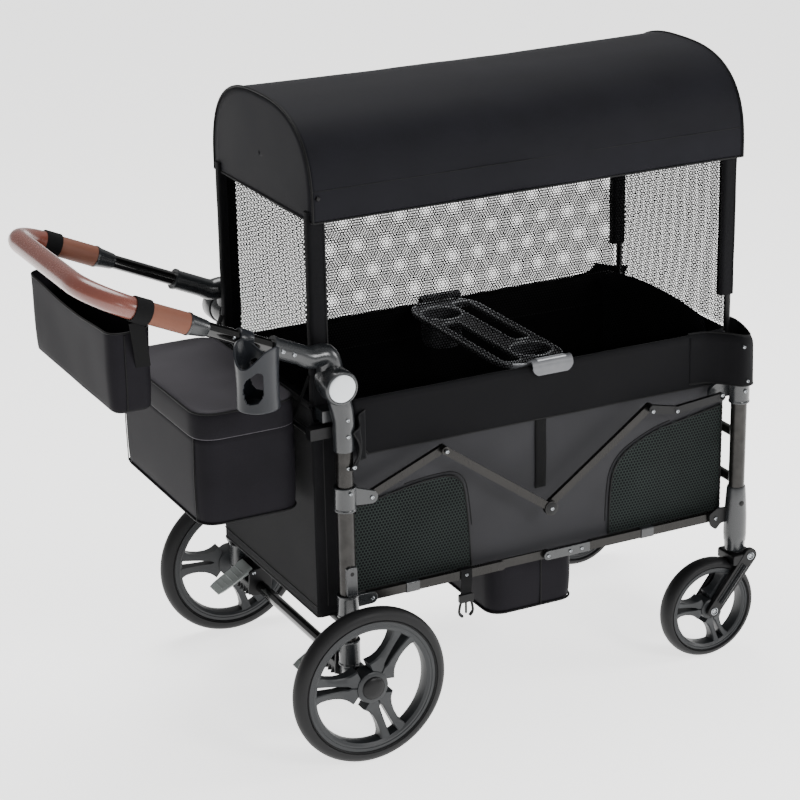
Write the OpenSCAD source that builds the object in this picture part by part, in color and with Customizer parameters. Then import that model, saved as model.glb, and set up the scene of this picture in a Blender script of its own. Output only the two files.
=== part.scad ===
// Folding pull wagon for two small children: a rear frame with a tilting handle, a front frame
// on casters that slides back to fold the wagon, and a fabric tub with a canopy between them.
// X runs towards the casters, Y to the left and Z up. Lengths are in millimetres.

/* [Chassis] */
// Distance between the rear and the front legs
leg_span = 806; // [760:2:860]
// Half the distance between the left and the right legs
leg_y = 239; // [232:1:260]
// Outer diameter of the leg tubes
leg_d = 30; // [26:1:32]
// Wall of the leg tubes
leg_wall = 2; // [1.5:0.5:3]
// Height of the handle's pivot above the ground
hub_z = 682; // [660:2:720]
// Diameter of the crossbars between the legs
crossbar_d = 18; // [14:1:22]

/* [Wheels] */
// Diameter of the rear wheels
rear_wheel_d = 290; // [270:2:300]
// Width of the rear tyres
rear_tyre_w = 34; // [28:1:40]
// Diameter of the front wheels
front_wheel_d = 196; // [180:2:204]
// Width of the front tyres
front_tyre_w = 36; // [30:1:38]
// Distance that the front axles trail behind the swivels
caster_trail = 60; // [50:1:66]
// Diameter of the rear axle's ends
axle_d = 12; // [10:0.5:14]

/* [Tub] */
// Height of the tub's rim above the ground
rim_z = 632; // [600:2:640]
// Height of the underside of the tub's floor
floor_z = 262; // [255:1:280]
// Half the width of the tub over its side panels
tub_y = 205; // [190:1:205]
// Thickness of the tub's fabric and board walls
wall = 4; // [3:0.5:5]
// Height of the fabric band that hangs over the rim
band_h = 100; // [80:2:110]
// Length of the footwell
footwell_l = 174; // [140:2:200]
// Height of the footwell's underside above the ground
footwell_z = 149; // [140:1:180]

/* [Canopy] */
// Height of the canopy's lower edge
canopy_z = 954; // [900:2:1000]
// Height of the canopy's ridge
roof_z = 1134; // [1100:2:1180]
// Half the width of the canopy
canopy_y = 207; // [200:1:212]
// Diameter of the canopy's poles
pole_d = 12; // [8:1:14]

/* [Linkage] */
// Height of the side links
link_h = 15; // [12:1:18]
// Thickness of the side links
link_t = 9; // [7:0.5:9]
// Diameter of the link pins
pin_d = 8; // [6:0.5:9]
// Height of the lower rails
rail_h = 17; // [14:1:20]
// Width of the lower rails
rail_w = 11; // [9:0.5:11]

/* [Handle] */
// Angle of the handle's arms above the horizontal
handle_angle = 24; // [15:1:30]
// Half the distance between the handle's arms
handle_y = 214; // [212:1:216]
// Outer diameter of the handle's tube
handle_d = 25; // [22:1:26]
// Outer diameter of the grip
grip_d = 38; // [32:1:40]
// Radius of the grip's corners
grip_bend_r = 90; // [70:5:110]

/* [Bags] */
// Length of the storage box, front to back
box_l = 186; // [160:2:190]
// Width of the storage box
box_w = 378; // [340:2:380]
// Height of the storage box's body
box_h = 160; // [130:2:165]
// Height of the storage box's lid
lid_h = 46; // [40:2:60]
// Width of the handle bag
bag_w = 400; // [360:2:404]
// Height of the handle bag
bag_h = 140; // [120:2:150]

/* [Accessories] */
// Diameter of the tray's cup recesses
cup_d = 80; // [70:1:84]
// Bore of the cup holder
holder_d = 68; // [60:1:70]

/* [Hidden] */
$fn = 64;

// General clearances
gap = 0.5;
running = 0.05;
cut = 1;
link_relief = 0.6;

// Places along the wagon, from the rear axle
rear_leg_x = -6;
front_leg_x = rear_leg_x + leg_span;
front_axle_x = front_leg_x - caster_trail;
tub_x0 = rear_leg_x - 43;
tub_x1 = front_leg_x - 12;
side_x0 = rear_leg_x + 18;
leg_r = leg_d / 2;

footwell_y = tub_y - 27;
seat_y = tub_y - 15;

// Layers across the wagon, outside the tub
band_t = 6;
rail_y0 = tub_y + 14;
link_y1 = rail_y0 + rail_w + 1;
link_y2 = link_y1 + link_t + 1;

// Handle
hub_x = rear_leg_x - 13;
hub_r = 30;
socket_low = min(hub_z - 122, rim_z - 44);
hub_y0 = leg_y - 7;
hub_y1 = leg_y + 29;
disc_r = 24;
disc_t = 6;
elbow_r = 17;
sleeve_l = 33;
elbow_top = [hub_x - 73, hub_z + 63];
arm_l = 368;
grip_l = 192;
arm_dir = [-cos(handle_angle), sin(handle_angle)];
arm_end = elbow_top + arm_dir * arm_l;

// Wheels
rear_wheel_r = rear_wheel_d / 2;
front_wheel_r = front_wheel_d / 2;
rear_wheel_y = leg_y + 64;
tyre_depth = 24;
spoke_groups = 3;

// Casters
fork_z = front_wheel_r * 2 + 6;
socket_z0 = fork_z + 2;
socket_z1 = socket_z0 + 128;
fork_pivot_x = front_leg_x + 18;
fork_pivot_z = fork_z + 1;
fork_arm_t = 8;
fork_inner = front_tyre_w / 2 + 2;

// Fold linkage: pivots as [x, z], and the bracket ears that carry them
ear_reach = 47;
rear_pivot = [rear_leg_x + ear_reach, rim_z - 165];
front_pivot = [front_leg_x - ear_reach + 2, rim_z - 113];
short_link = [143, 58];
apex_rear = rear_pivot + short_link;
apex_front = front_pivot + [-149, 4];
low_pivot = [(apex_rear[0] + apex_front[0]) / 2, apex_rear[1] - 151];
rail_pivot_z = floor_z + 11;
rail_x0 = rear_leg_x + 48;
rail_x1 = front_leg_x - 43;
rail_mid = (rail_x0 + rail_x1) / 2;
rail_plate = 95;

// Canopy poles and their seats
rear_pole_x = tub_x0 + 22;
front_pole_x = tub_x1 + 15;
pole_y = canopy_y - 20;
pole_seat = 15;
shelf_z = rim_z - 86;
canopy_x0 = rear_pole_x - 10;
canopy_x1 = front_pole_x + 12;

// Storage box and handle bag
box_x1 = tub_x0 - 14;
box_x0 = box_x1 - box_l;
box_z0 = rim_z - 187;
lid_z0 = box_z0 + box_h + gap;
box_r = 40;
bag_x1 = hub_x - 303;
bag_l = 78;
bag_z0 = hub_z - 2;
bag_r = 22;
bag_strap_z = elbow_top[1] + (elbow_top[0] - bag_x1 + 2) * tan(handle_angle)
    - grip_d / 2 / cos(handle_angle) - gap;

// Rail for the storage box
hook_d = 12;
hook_z = rim_z - 40;
rail_x = tub_x0 - 7;

// Brake
pedal_pivot = [-14, rear_wheel_r + 31];
pedal_pivot_r = 6;
cable_d = 5;
cable_sides = 8;
housing_y = leg_y - leg_r - 5;
housing_w = 62;
pedal_w = 50;

// The whole length, for the frame's origin at the middle of the bounding box
x_min = arm_end[0] - grip_d / 2;
x_max = max(fork_pivot_x + 12, front_axle_x + front_wheel_r);
centre_x = (x_min + x_max) / 2;

// Colours
tube_colour = "#4a4845";
plastic_colour = "#3f4347";
fabric_colour = "#2a2a2d";
panel_colour = "#454549";
grip_colour = "#b5776a";
disc_colour = "#d8dcdf";
pedal_colour = "#8d9290";
tyre_colour = "#2b2b2c";
rim_colour = "#44474a";
mesh_colour = "#5a5a5e";

// Moves the wagon so that the origin is under the middle of its bounding box
module placed() {
    translate([-centre_x, 0, 0]) children();
}

// The left side is drawn; the right side is its mirror image
module on_side(left) {
    mirror([0, left ? 0 : 1, 0]) children();
}

module both_sides() {
    on_side(true) children();
    on_side(false) children();
}

// A round bar between two points
module bar(a, b, d) {
    v = b - a;
    translate(a)
        rotate([0, acos(v[2] / norm(v)), atan2(v[1], v[0])])
            cylinder(d = d, h = norm(v));
}

// A round tube between two points, open at both ends
module tube(a, b, d, t) {
    u = (b - a) / norm(b - a);
    difference() {
        bar(a, b, d);
        bar(a - u * cut, b + u * cut, d - 2 * t);
    }
}

// A disc or pin along Y
module disc_y(x, z, r, y0, y1) {
    translate([x, y0, z]) rotate([-90, 0, 0]) cylinder(r = r, h = y1 - y0);
}

// A box given by its two corners
module block(a, b) {
    translate(a) cube(b - a);
}

// A rectangle with round corners, from exact arcs
module rounded_rect(a, b, r) {
    translate([a[0] + r, a[1]]) square([b[0] - a[0] - 2 * r, b[1] - a[1]]);
    translate([a[0], a[1] + r]) square([b[0] - a[0], b[1] - a[1] - 2 * r]);
    for (x = [a[0] + r, b[0] - r], y = [a[1] + r, b[1] - r]) translate([x, y]) circle(r);
}

// A flat bar between two [x, z] points, from y0 to y1, with round ends that stand a little proud of it
module flat_link(p, q, h, y0, y1) {
    v = q - p;
    bar_h = h - link_relief;
    disc_y(p[0], p[1], h / 2, y0, y1);
    disc_y(q[0], q[1], h / 2, y0, y1);
    translate([p[0], y0, p[1]])
        rotate([0, -atan2(v[1], v[0]), 0])
            translate([0, link_relief / 2, -bar_h / 2]) cube([norm(v), y1 - y0 - link_relief, bar_h]);
}

// ---- Rear frame ----

module rear_legs() {
    color(tube_colour) both_sides()
        tube([rear_leg_x, leg_y, 158], [rear_leg_x, leg_y, hub_z - 44], leg_d, leg_wall);
}

module hub_sockets() {
    color(plastic_colour) both_sides() difference() {
        union() {
            disc_y(hub_x, hub_z, hub_r, hub_y0, hub_y1);
            bar([rear_leg_x, leg_y, socket_low], [rear_leg_x, leg_y, hub_z - 20], leg_d + 8);
            block([rear_pole_x - 12, canopy_y - 26, rim_z - 22], [rear_pole_x + 12, leg_y - 12, rim_z]);
        }
        bar([rear_pole_x, pole_y, rim_z - pole_seat], [rear_pole_x, pole_y, rim_z + cut], pole_d);
        bar([rear_leg_x, leg_y, socket_low - cut], [rear_leg_x, leg_y, hub_z - 44], leg_d);
        disc_y(hub_x, hub_z, disc_r + gap, hub_y1 - 10, hub_y1 + cut);
        disc_y(hub_x, hub_z, pin_d / 2 + running, hub_y0 - cut, hub_y0 + 20);
        disc_y(hub_x, hub_z, hub_r - 1, handle_y, hub_y0 - gap / 2);
    }
}

module rear_axle() {
    color(tube_colour) {
        difference() {
            disc_y(0, rear_wheel_r, 11, -leg_y - 18, leg_y + 18);
            both_sides() disc_y(0, rear_wheel_r, axle_d / 2, leg_y - 30, leg_y + 18 + cut);
        }
        both_sides() disc_y(0, rear_wheel_r, axle_d / 2, leg_y - 30, rear_wheel_y + 12);
    }
}

// A crossbar from leg to leg, notched to fit round them
module crossbar(x, z) {
    difference() {
        tube([x, -leg_y, z], [x, leg_y, z], crossbar_d, leg_wall);
        both_sides() bar([x, leg_y, z - 40], [x, leg_y, z + 40], leg_d);
    }
}

// The lower crossbar under the floor, and the rail behind the tub that the storage box hooks on
module rear_crossbars() {
    color(tube_colour) {
        crossbar(rear_leg_x, floor_z - 31);
        difference() {
            union() {
                bar([rail_x, -leg_y + 25, hook_z], [rail_x, leg_y - 25, hook_z], hook_d);
                both_sides() block([rail_x - hook_d / 2, leg_y - 31, hook_z - 10],
                    [rear_leg_x, leg_y - 12, hook_z + 10]);
            }
            both_sides() bar([rear_leg_x, leg_y, hook_z - 20], [rear_leg_x, leg_y, hook_z + 20], leg_d + 8);
        }
    }
}

// A clamp ring round a leg, with an ear that carries a pivot
module leg_clamp(leg_x, z0, z1, pivot, y0, y1) {
    difference() {
        union() {
            bar([leg_x, leg_y, z0], [leg_x, leg_y, z1], leg_d + 10);
            flat_link([leg_x, pivot[1]], pivot, 26, y0, y1);
        }
        bar([leg_x, leg_y, z0 - 40], [leg_x, leg_y, z1 + 40], leg_d);
    }
}

module rear_brackets() {
    color(plastic_colour) both_sides() {
        leg_clamp(rear_leg_x, rear_pivot[1] - 17, rear_pivot[1] + 28, rear_pivot, link_y2, link_y2 + 6);
        disc_y(rear_pivot[0], rear_pivot[1], pin_d / 2, link_y1 - 1, link_y2);
        leg_clamp(rear_leg_x, rail_pivot_z - 22, rail_pivot_z + 20, [rail_x0, rail_pivot_z],
            link_y1, link_y1 + 6);
        disc_y(rail_x0, rail_pivot_z, pin_d / 2, rail_y0 - 1, link_y1);
        block([rear_leg_x - 9, leg_y + leg_r, rail_pivot_z + 24],
            [rear_leg_x + 9, leg_y + leg_r + 5, rail_pivot_z + 76]);
        axle_clamp();
    }
}

// Joins the foot of a rear leg to the axle
module axle_clamp() {
    difference() {
        union() {
            disc_y(0, rear_wheel_r, 19, leg_y - 17, leg_y + 17);
            bar([rear_leg_x, leg_y, rear_wheel_r], [rear_leg_x, leg_y, rear_wheel_r + 62], leg_d + 8);
        }
        disc_y(0, rear_wheel_r, 11, leg_y - 30, leg_y + 30);
        bar([rear_leg_x, leg_y, 158], [rear_leg_x, leg_y, 260], leg_d);
    }
}

module leg_bolts() {
    color("silver") both_sides() {
        for (z = [hub_z - 92, hub_z - 62])
            disc_y(rear_leg_x, z, 4, leg_y + leg_r + 4, leg_y + leg_r + 8);
        disc_y(rear_leg_x, rear_pivot[1] + 20, 4, leg_y + leg_r + 5, leg_y + leg_r + 8);
    }
}

// A block on the axle with two cheeks that hold the pedal's pin
module brake_housings() {
    y0 = housing_y - housing_w;
    slot_y = [housing_y - (housing_w + pedal_w) / 2 - gap, housing_y - (housing_w - pedal_w) / 2 + gap];
    color(plastic_colour) both_sides() difference() {
        translate([0, housing_y, 0]) rotate([90, 0, 0]) linear_extrude(housing_w)
            rounded_rect([-26, rear_wheel_r - 17], [22, rear_wheel_r + 40], 9);
        disc_y(0, rear_wheel_r, 11, y0 - cut, housing_y + cut);
        disc_y(pedal_pivot[0], pedal_pivot[1], pedal_pivot_r - 2, y0 - cut, housing_y + cut);
        disc_y(pedal_pivot[0], pedal_pivot[1], pedal_pivot_r + 3, slot_y[0], slot_y[1]);
        block([-40, slot_y[0], rear_wheel_r + 13], [pedal_pivot[0] + 9, slot_y[1], rear_wheel_r + 90]);
    }
    color("silver") both_sides()
        disc_y(pedal_pivot[0], pedal_pivot[1], pedal_pivot_r - 2, y0, housing_y);
}

// The cable's route from the left housing over the axle to the right one, points chosen by hand
cable_points = [
    [10, 200, 185], [10, 200, 200], [12, 196, 222], [14, 182, 236], [16, 160, 240], [16, 120, 238],
    [16, 60, 236], [16, 0, 235], [16, -60, 236], [16, -120, 238], [16, -160, 240], [14, -182, 236],
    [12, -196, 222], [10, -200, 200], [10, -200, 185]
];

module brake_cable() {
    color(tyre_colour) swept(cable_points, cable_d / 2, cable_sides);
}

// A tube along points, swept with rings that face along the route
module swept(points, r, sides) {
    n = len(points);
    dirs = [for (i = [0:n - 1]) let (v = points[min(i + 1, n - 1)] - points[max(i - 1, 0)]) v / norm(v)];
    rings = [for (i = [0:n - 1]) let (
            d = dirs[i],
            u = cross(d, [1, 0, 0]) / norm(cross(d, [1, 0, 0])),
            w = cross(d, u)
        ) for (k = [0:sides - 1]) points[i] + r * (u * cos(360 * k / sides) + w * sin(360 * k / sides))];
    skin = [for (i = [0:n - 2], k = [0:sides - 1]) let (m = (k + 1) % sides)
        [i * sides + k, i * sides + m, (i + 1) * sides + m, (i + 1) * sides + k]];
    ends = [[for (k = [sides - 1:-1:0]) k], [for (k = [0:sides - 1]) (n - 1) * sides + k]];
    polyhedron(points = rings, faces = concat(skin, ends), convexity = 4);
}

// ---- Tub ----

module rear_panel() {
    color(fabric_colour) {
        block([tub_x0, -tub_y + wall, floor_z - 20], [tub_x0 + wall, tub_y - wall, rim_z]);
        both_sides() block([tub_x0, tub_y - wall, floor_z - 20], [side_x0 - gap, tub_y, rim_z - 30]);
    }
}

module front_panel() {
    color(fabric_colour) block([tub_x1 - wall, -tub_y + wall + gap, floor_z + 8],
        [tub_x1, tub_y - wall - gap, rim_z]);
}

module side_panels() {
    color(panel_colour) both_sides() block([side_x0, tub_y - wall, floor_z + 8], [tub_x1, tub_y, rim_z]);
}

module rim_bands() {
    color(fabric_colour) both_sides() block([tub_x0 + 80, tub_y + gap, rim_z - band_h],
        [tub_x1, tub_y + gap + band_t, rim_z]);
}

module floor_panel() {
    color(fabric_colour) difference() {
        block([tub_x0 + wall + gap, -tub_y + wall + gap, floor_z], [tub_x1 - wall - gap,
            tub_y - wall - gap, floor_z + 7]);
        block([rail_mid - footwell_l / 2 - gap, -footwell_y - gap, floor_z - cut],
            [rail_mid + footwell_l / 2 + gap, footwell_y + gap, floor_z + 8]);
    }
}

// The footwell under the floor, with a flange that is stitched to the floor's underside
module footwell() {
    x = [rail_mid - footwell_l / 2, rail_mid + footwell_l / 2];
    color(fabric_colour) difference() {
        union() {
            translate([0, 0, footwell_z]) linear_extrude(floor_z + 7 - footwell_z)
                rounded_rect([x[0], -footwell_y], [x[1], footwell_y], 30);
            translate([0, 0, floor_z - wall]) linear_extrude(wall)
                rounded_rect([x[0] - 12, -footwell_y - 12], [x[1] + 12, footwell_y + 12], 30);
        }
        translate([0, 0, footwell_z + wall]) linear_extrude(floor_z)
            rounded_rect([x[0] + wall, -footwell_y + wall], [x[1] - wall, footwell_y - wall], 30 - wall);
    }
}

module seat_cushions() {
    seat_z = floor_z + 8;
    color(fabric_colour) for (x = [[tub_x0 + 12, rail_mid - 100], [rail_mid + 100, tub_x1 - 42]])
        translate([0, 0, seat_z]) linear_extrude(34) rounded_rect([x[0], -seat_y], [x[1], seat_y], 18);
    color(fabric_colour) translate([tub_x1 - 40, 0, 0]) rotate([90, 0, 90]) linear_extrude(30)
        rounded_rect([-seat_y + 5, seat_z], [seat_y - 5, rim_z + 20], 40);
}

module poles(x, z) {
    color(tube_colour) both_sides() tube([x, pole_y, z], [x, pole_y, canopy_z + 30], pole_d, 1.5);
}

module rear_poles() {
    poles(rear_pole_x, rim_z - pole_seat);
}

module front_poles() {
    poles(front_pole_x, shelf_z + 14);
}

// Half outline of the canopy: straight at its foot and round above, as [y, z]
function arch(a, b, z, n) = [for (i = [0:n]) let (t = 180 * i / n)
    [a * sign(cos(t)) * pow(abs(cos(t)), 0.74), z + b * pow(max(sin(t), 0), 0.74)]];

module canopy_roof() {
    steps = 32;
    foot = canopy_z + 10;
    color(fabric_colour) rotate([90, 0, 90]) difference() {
        translate([0, 0, canopy_x0]) linear_extrude(canopy_x1 - canopy_x0) polygon(concat(
            [[-canopy_y, canopy_z], [canopy_y, canopy_z]], arch(canopy_y, roof_z - foot, foot, steps)));
        translate([0, 0, canopy_x0 + wall]) linear_extrude(canopy_x1 - canopy_x0 - 2 * wall) polygon(concat(
            [[-canopy_y + wall, canopy_z - cut], [canopy_y - wall, canopy_z - cut]],
            arch(canopy_y - wall, roof_z - foot - wall, foot, steps)));
    }
}

curtain_t = 2;

module end_curtain(x) {
    color(mesh_colour) block([x, -pole_y + 8, rim_z + gap], [x + curtain_t, pole_y - 8, canopy_z + 20]);
}

module rear_curtain() {
    end_curtain(rear_pole_x);
}

module front_curtain() {
    end_curtain(front_pole_x);
}

module side_curtains() {
    color(mesh_colour) both_sides() block([rear_pole_x + 13, pole_y - 1, rim_z + gap],
        [front_pole_x - 14, pole_y - 1 + curtain_t, canopy_z + 20]);
}

// ---- Storage box ----

module storage_box() {
    color(fabric_colour) difference() {
        translate([0, 0, box_z0]) linear_extrude(box_h)
            rounded_rect([box_x0, -box_w / 2], [box_x1, box_w / 2], box_r);
        translate([0, 0, box_z0 + wall]) linear_extrude(box_h)
            rounded_rect([box_x0 + wall, -box_w / 2 + wall], [box_x1 - wall, box_w / 2 - wall], box_r - wall);
    }
    color(plastic_colour) difference() {
        for (y = [-120, 120]) block([box_x1, y - 15, hook_z - 18], [tub_x0 - gap, y + 15, hook_z + 10]);
        bar([rail_x, -leg_y, hook_z], [rail_x, leg_y, hook_z], hook_d);
    }
}

module box_lid() {
    color(fabric_colour) difference() {
        translate([0, 0, lid_z0]) linear_extrude(lid_h)
            rounded_rect([box_x0 - 4, -box_w / 2 - 4], [box_x1, box_w / 2 + 4], box_r + 4);
        translate([0, 0, lid_z0 - cut]) linear_extrude(lid_h - wall + cut)
            rounded_rect([box_x0, -box_w / 2], [box_x1 - wall, box_w / 2], box_r);
    }
}

// ---- Handle ----

module handle_arms() {
    color(tube_colour) both_sides()
        tube([elbow_top[0], handle_y, elbow_top[1]], [arm_end[0], handle_y, arm_end[1]]
            - (grip_bend_r + 5) * [arm_dir[0], 0, arm_dir[1]], handle_d, leg_wall);
}

// A casting on each side: a barrel on the hub's pin, a neck up from it, and a sleeve for the arm
module handle_elbows() {
    u = [arm_dir[0], 0, arm_dir[1]];
    seat = [elbow_top[0], handle_y, elbow_top[1]];
    neck = seat - 52 * u;
    color(plastic_colour) both_sides() {
        difference() {
            union() {
                disc_y(hub_x, hub_z, hub_r - 3, handle_y - elbow_r, hub_y0 - gap);
                bar([hub_x, handle_y, hub_z], neck, 2 * elbow_r);
                bar(neck - 14 * u, seat + sleeve_l * u, 2 * elbow_r);
            }
            bar(seat, seat + 2 * sleeve_l * u, handle_d);
        }
        disc_y(hub_x, hub_z, pin_d / 2, hub_y0 - gap, hub_y0 + 18);
    }
}

// The grip: two straight sleeves, two round corners and the front bar, in the handle's own plane
module handle_grip() {
    along = arm_l - grip_bend_r;
    color(grip_colour) translate([elbow_top[0], 0, elbow_top[1]]) rotate([0, handle_angle, 0]) {
        both_sides() {
            difference() {
                bar([-along, handle_y, 0], [-grip_l, handle_y, 0], grip_d);
                bar([-along + 5, handle_y, 0], [-grip_l + cut, handle_y, 0], handle_d);
            }
            translate([-along, handle_y - grip_bend_r, 0]) rotate([0, 0, 90])
                rotate_extrude(angle = 90) translate([grip_bend_r, 0]) circle(d = grip_d);
        }
        bar([-arm_l, -handle_y + grip_bend_r, 0], [-arm_l, handle_y - grip_bend_r, 0], grip_d);
    }
}

module handle_bag() {
    color(fabric_colour) difference() {
        translate([0, 0, bag_z0]) linear_extrude(bag_h)
            rounded_rect([bag_x1 - bag_l, -bag_w / 2], [bag_x1, bag_w / 2], bag_r);
        translate([0, 0, bag_z0 + wall]) linear_extrude(bag_h)
            rounded_rect([bag_x1 - bag_l + wall, -bag_w / 2 + wall], [bag_x1 - wall, bag_w / 2 - wall],
                bag_r - wall);
    }
    color(fabric_colour) both_sides()
        block([bag_x1 - 24, bag_w / 2 - wall, bag_z0 + bag_h - 20], [bag_x1 - 2, bag_w / 2, bag_strap_z]);
}

module cup_holder() {
    holder_x = elbow_top[0] - 80;
    holder_z = elbow_top[1] + 80 * tan(handle_angle) - 102;
    holder_y = -handle_y - handle_d / 2 - 7 - holder_d / 2;
    color(plastic_colour) {
        difference() {
            translate([holder_x, holder_y, holder_z]) cylinder(d = holder_d + 6, h = 108);
            translate([holder_x, holder_y, holder_z + 4]) cylinder(d = holder_d, h = 108);
            for (a = [30, 150]) translate([holder_x, holder_y, holder_z + 26]) rotate([0, 0, a + 90])
                block([20, -17, 0], [60, 17, 52]);
        }
        difference() {
            block([holder_x - 16, holder_y + holder_d / 2, holder_z + 84],
                [holder_x + 16, -handle_y + handle_d / 2 + 4, holder_z + 120]);
            bar([elbow_top[0], -handle_y, elbow_top[1]], [elbow_top[0] - 180, -handle_y, elbow_top[1]
                + 180 * tan(handle_angle)], handle_d);
        }
    }
}

module hub_button() {
    color(disc_colour) difference() {
        disc_y(hub_x, hub_z, disc_r, hub_y1 - disc_t, hub_y1 + 2);
        disc_y(hub_x, hub_z, disc_r - 5, hub_y1 + 1, hub_y1 + 3);
    }
}

module brake_pedal() {
    w0 = housing_y - (housing_w + pedal_w) / 2;
    w1 = w0 + pedal_w;
    color(pedal_colour) difference() {
        union() {
            disc_y(pedal_pivot[0], pedal_pivot[1], pedal_pivot_r + 2, w0, w1);
            translate([pedal_pivot[0], w0, pedal_pivot[1]]) rotate([0, -28, 0])
                block([-78, link_relief, 0], [0, w1 - w0 - link_relief, 7]);
        }
        disc_y(pedal_pivot[0], pedal_pivot[1], pedal_pivot_r - 2 + running, w0 - cut, w1 + cut);
    }
}

// ---- Front frame ----

module front_legs() {
    color(tube_colour) both_sides()
        tube([front_leg_x, leg_y, socket_z1 - 70], [front_leg_x, leg_y, shelf_z - 6], leg_d, leg_wall);
}

module front_collars() {
    color(plastic_colour) both_sides() {
        difference() {
            union() {
                bar([front_leg_x, leg_y, rim_z - 137], [front_leg_x, leg_y, shelf_z], leg_d + 10);
                block([front_pole_x - 12, pole_y - 12, shelf_z - cut], [front_pole_x + 8, leg_y + leg_r,
                    shelf_z + 29]);
                flat_link([front_leg_x, front_pivot[1]], front_pivot, 26, link_y1, link_y1 + link_t);
            }
            bar([front_leg_x, leg_y, rim_z - 200], [front_leg_x, leg_y, shelf_z - 6], leg_d);
            bar([front_pole_x, pole_y, shelf_z + 14], [front_pole_x, pole_y, shelf_z + 40], pole_d);
        }
        disc_y(front_pivot[0], front_pivot[1], pin_d / 2, link_y1 + link_t, link_y2 + link_t + 1);
    }
}

module front_sockets() {
    color(plastic_colour) both_sides() {
        difference() {
            union() {
                bar([front_leg_x, leg_y, socket_z0], [front_leg_x, leg_y, socket_z1], leg_d + 10);
                flat_link([front_leg_x, rail_pivot_z], [rail_x1, rail_pivot_z], 26, link_y1, link_y1 + 6);
            }
            bar([front_leg_x, leg_y, socket_z1 - 70], [front_leg_x, leg_y, socket_z1 + 20], leg_d);
            bar([front_leg_x, leg_y, socket_z0 - cut], [front_leg_x, leg_y, socket_z0 + 40], axle_d
                + 2 * running);
        }
        disc_y(rail_x1, rail_pivot_z, pin_d / 2, rail_y0 - 1, link_y1);
    }
}

module front_crossbars() {
    color(tube_colour) for (z = [rear_pivot[1] - 33, socket_z1 + 10]) crossbar(front_leg_x, z);
}

// ---- Fold linkage, drawn for the left side ----

module link_rear(left) {
    color(tube_colour) on_side(left) {
        difference() {
            flat_link(rear_pivot, apex_rear, link_h, link_y1, link_y1 + link_t);
            disc_y(rear_pivot[0], rear_pivot[1], pin_d / 2 + running, link_y1 - cut, link_y2);
        }
        disc_y(apex_rear[0], apex_rear[1], pin_d / 2, link_y1 + link_t, link_y2 + link_t + 1);
    }
}

module link_long_rear(left) {
    color(tube_colour) on_side(left) {
        difference() {
            flat_link(apex_rear, low_pivot, link_h, link_y2, link_y2 + link_t);
            disc_y(apex_rear[0], apex_rear[1], pin_d / 2 + running, link_y2 - cut, link_y2 + link_t + cut);
        }
        disc_y(low_pivot[0], low_pivot[1], 13, link_y2, link_y2 + link_t + 2);
    }
}

module link_long_front(left) {
    color(tube_colour) on_side(left) difference() {
        flat_link(low_pivot, apex_front, link_h, link_y1, link_y1 + link_t);
        disc_y(apex_front[0], apex_front[1], pin_d / 2 + running, link_y1 - cut, link_y2);
    }
}

module link_front(left) {
    color(plastic_colour) on_side(left) {
        difference() {
            union() {
                flat_link(apex_front, apex_front + [52, -12], link_h, link_y2, link_y2 + link_t);
                flat_link(apex_front + [52, -12], front_pivot, link_h, link_y2, link_y2 + link_t);
            }
            disc_y(front_pivot[0], front_pivot[1], pin_d / 2 + running, link_y2 - cut,
                link_y2 + link_t + cut);
        }
        disc_y(apex_front[0], apex_front[1], pin_d / 2, link_y1 - 1, link_y2);
    }
}

// One half of a lower rail: a flat tube, and a thin plate towards the middle joint
module rail_half(pivot_x, dir, y0) {
    inner = rail_mid - dir * rail_plate;
    plate_t = rail_w / 2 - 0.3;
    difference() {
        union() {
            flat_link([pivot_x, rail_pivot_z], [inner, rail_pivot_z], rail_h, rail_y0, rail_y0 + rail_w);
            flat_link([inner, rail_pivot_z], [rail_mid, rail_pivot_z], rail_h, y0, y0 + plate_t);
        }
        disc_y(pivot_x, rail_pivot_z, pin_d / 2 + running, rail_y0 - cut, link_y1);
    }
}

module rail_rear(left) {
    color(tube_colour) on_side(left) rail_half(rail_x0, 1, rail_y0);
}

module rail_front(left) {
    color(tube_colour) on_side(left) rail_half(rail_x1, -1, rail_y0 + rail_w / 2 + 0.3);
}

module buckle_strap() {
    x = rail_x0 + 190;
    color(fabric_colour) on_side(false) {
        block([x - 12, rail_y0 - 2, rail_pivot_z - rail_h / 2 - 30], [x + 12, rail_y0,
            rail_pivot_z + rail_h / 2]);
        block([x - 14, rail_y0 - 6, rail_pivot_z - rail_h / 2 - 70], [x + 14, rail_y0 + 2,
            rail_pivot_z - rail_h / 2 - 30]);
    }
}

// ---- Wheels ----

module wheel_tyre(d, w) {
    rotate([90, 0, 0]) rotate_extrude() translate([d / 2 - tyre_depth, 0]) {
        translate([0, -w / 2]) square([tyre_depth - 8, w]);
        translate([0, -w / 2 + 6]) square([tyre_depth, w - 12]);
    }
}

module wheel_rim(d, w, hub_d, bore) {
    rim_r = d / 2 - tyre_depth;
    difference() {
        rotate([90, 0, 0]) {
            difference() {
                cylinder(r = rim_r, h = w, center = true);
                cylinder(r = rim_r - 9, h = w + cut, center = true);
            }
            cylinder(d = hub_d, h = w + 4, center = true);
            for (g = [0:spoke_groups - 1], s = [-1, 1]) rotate([0, 0, g * 360 / spoke_groups + 30 + s * 14])
                translate([0, -5, -w / 4]) cube([rim_r - 4, 10, w / 2]);
        }
        rotate([90, 0, 0]) cylinder(d = bore, h = w + 6, center = true);
    }
}

module rear_tyre(left) {
    color(tyre_colour) on_side(left) translate([0, rear_wheel_y, rear_wheel_r])
        wheel_tyre(rear_wheel_d, rear_tyre_w);
}

module rear_rim(left) {
    color(rim_colour) on_side(left) translate([0, rear_wheel_y, rear_wheel_r])
        wheel_rim(rear_wheel_d, rear_tyre_w - 4, 44, axle_d + 2 * running);
}

module front_tyre(left) {
    color(tyre_colour) on_side(left) translate([front_axle_x, leg_y, front_wheel_r])
        wheel_tyre(front_wheel_d, front_tyre_w);
}

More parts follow.
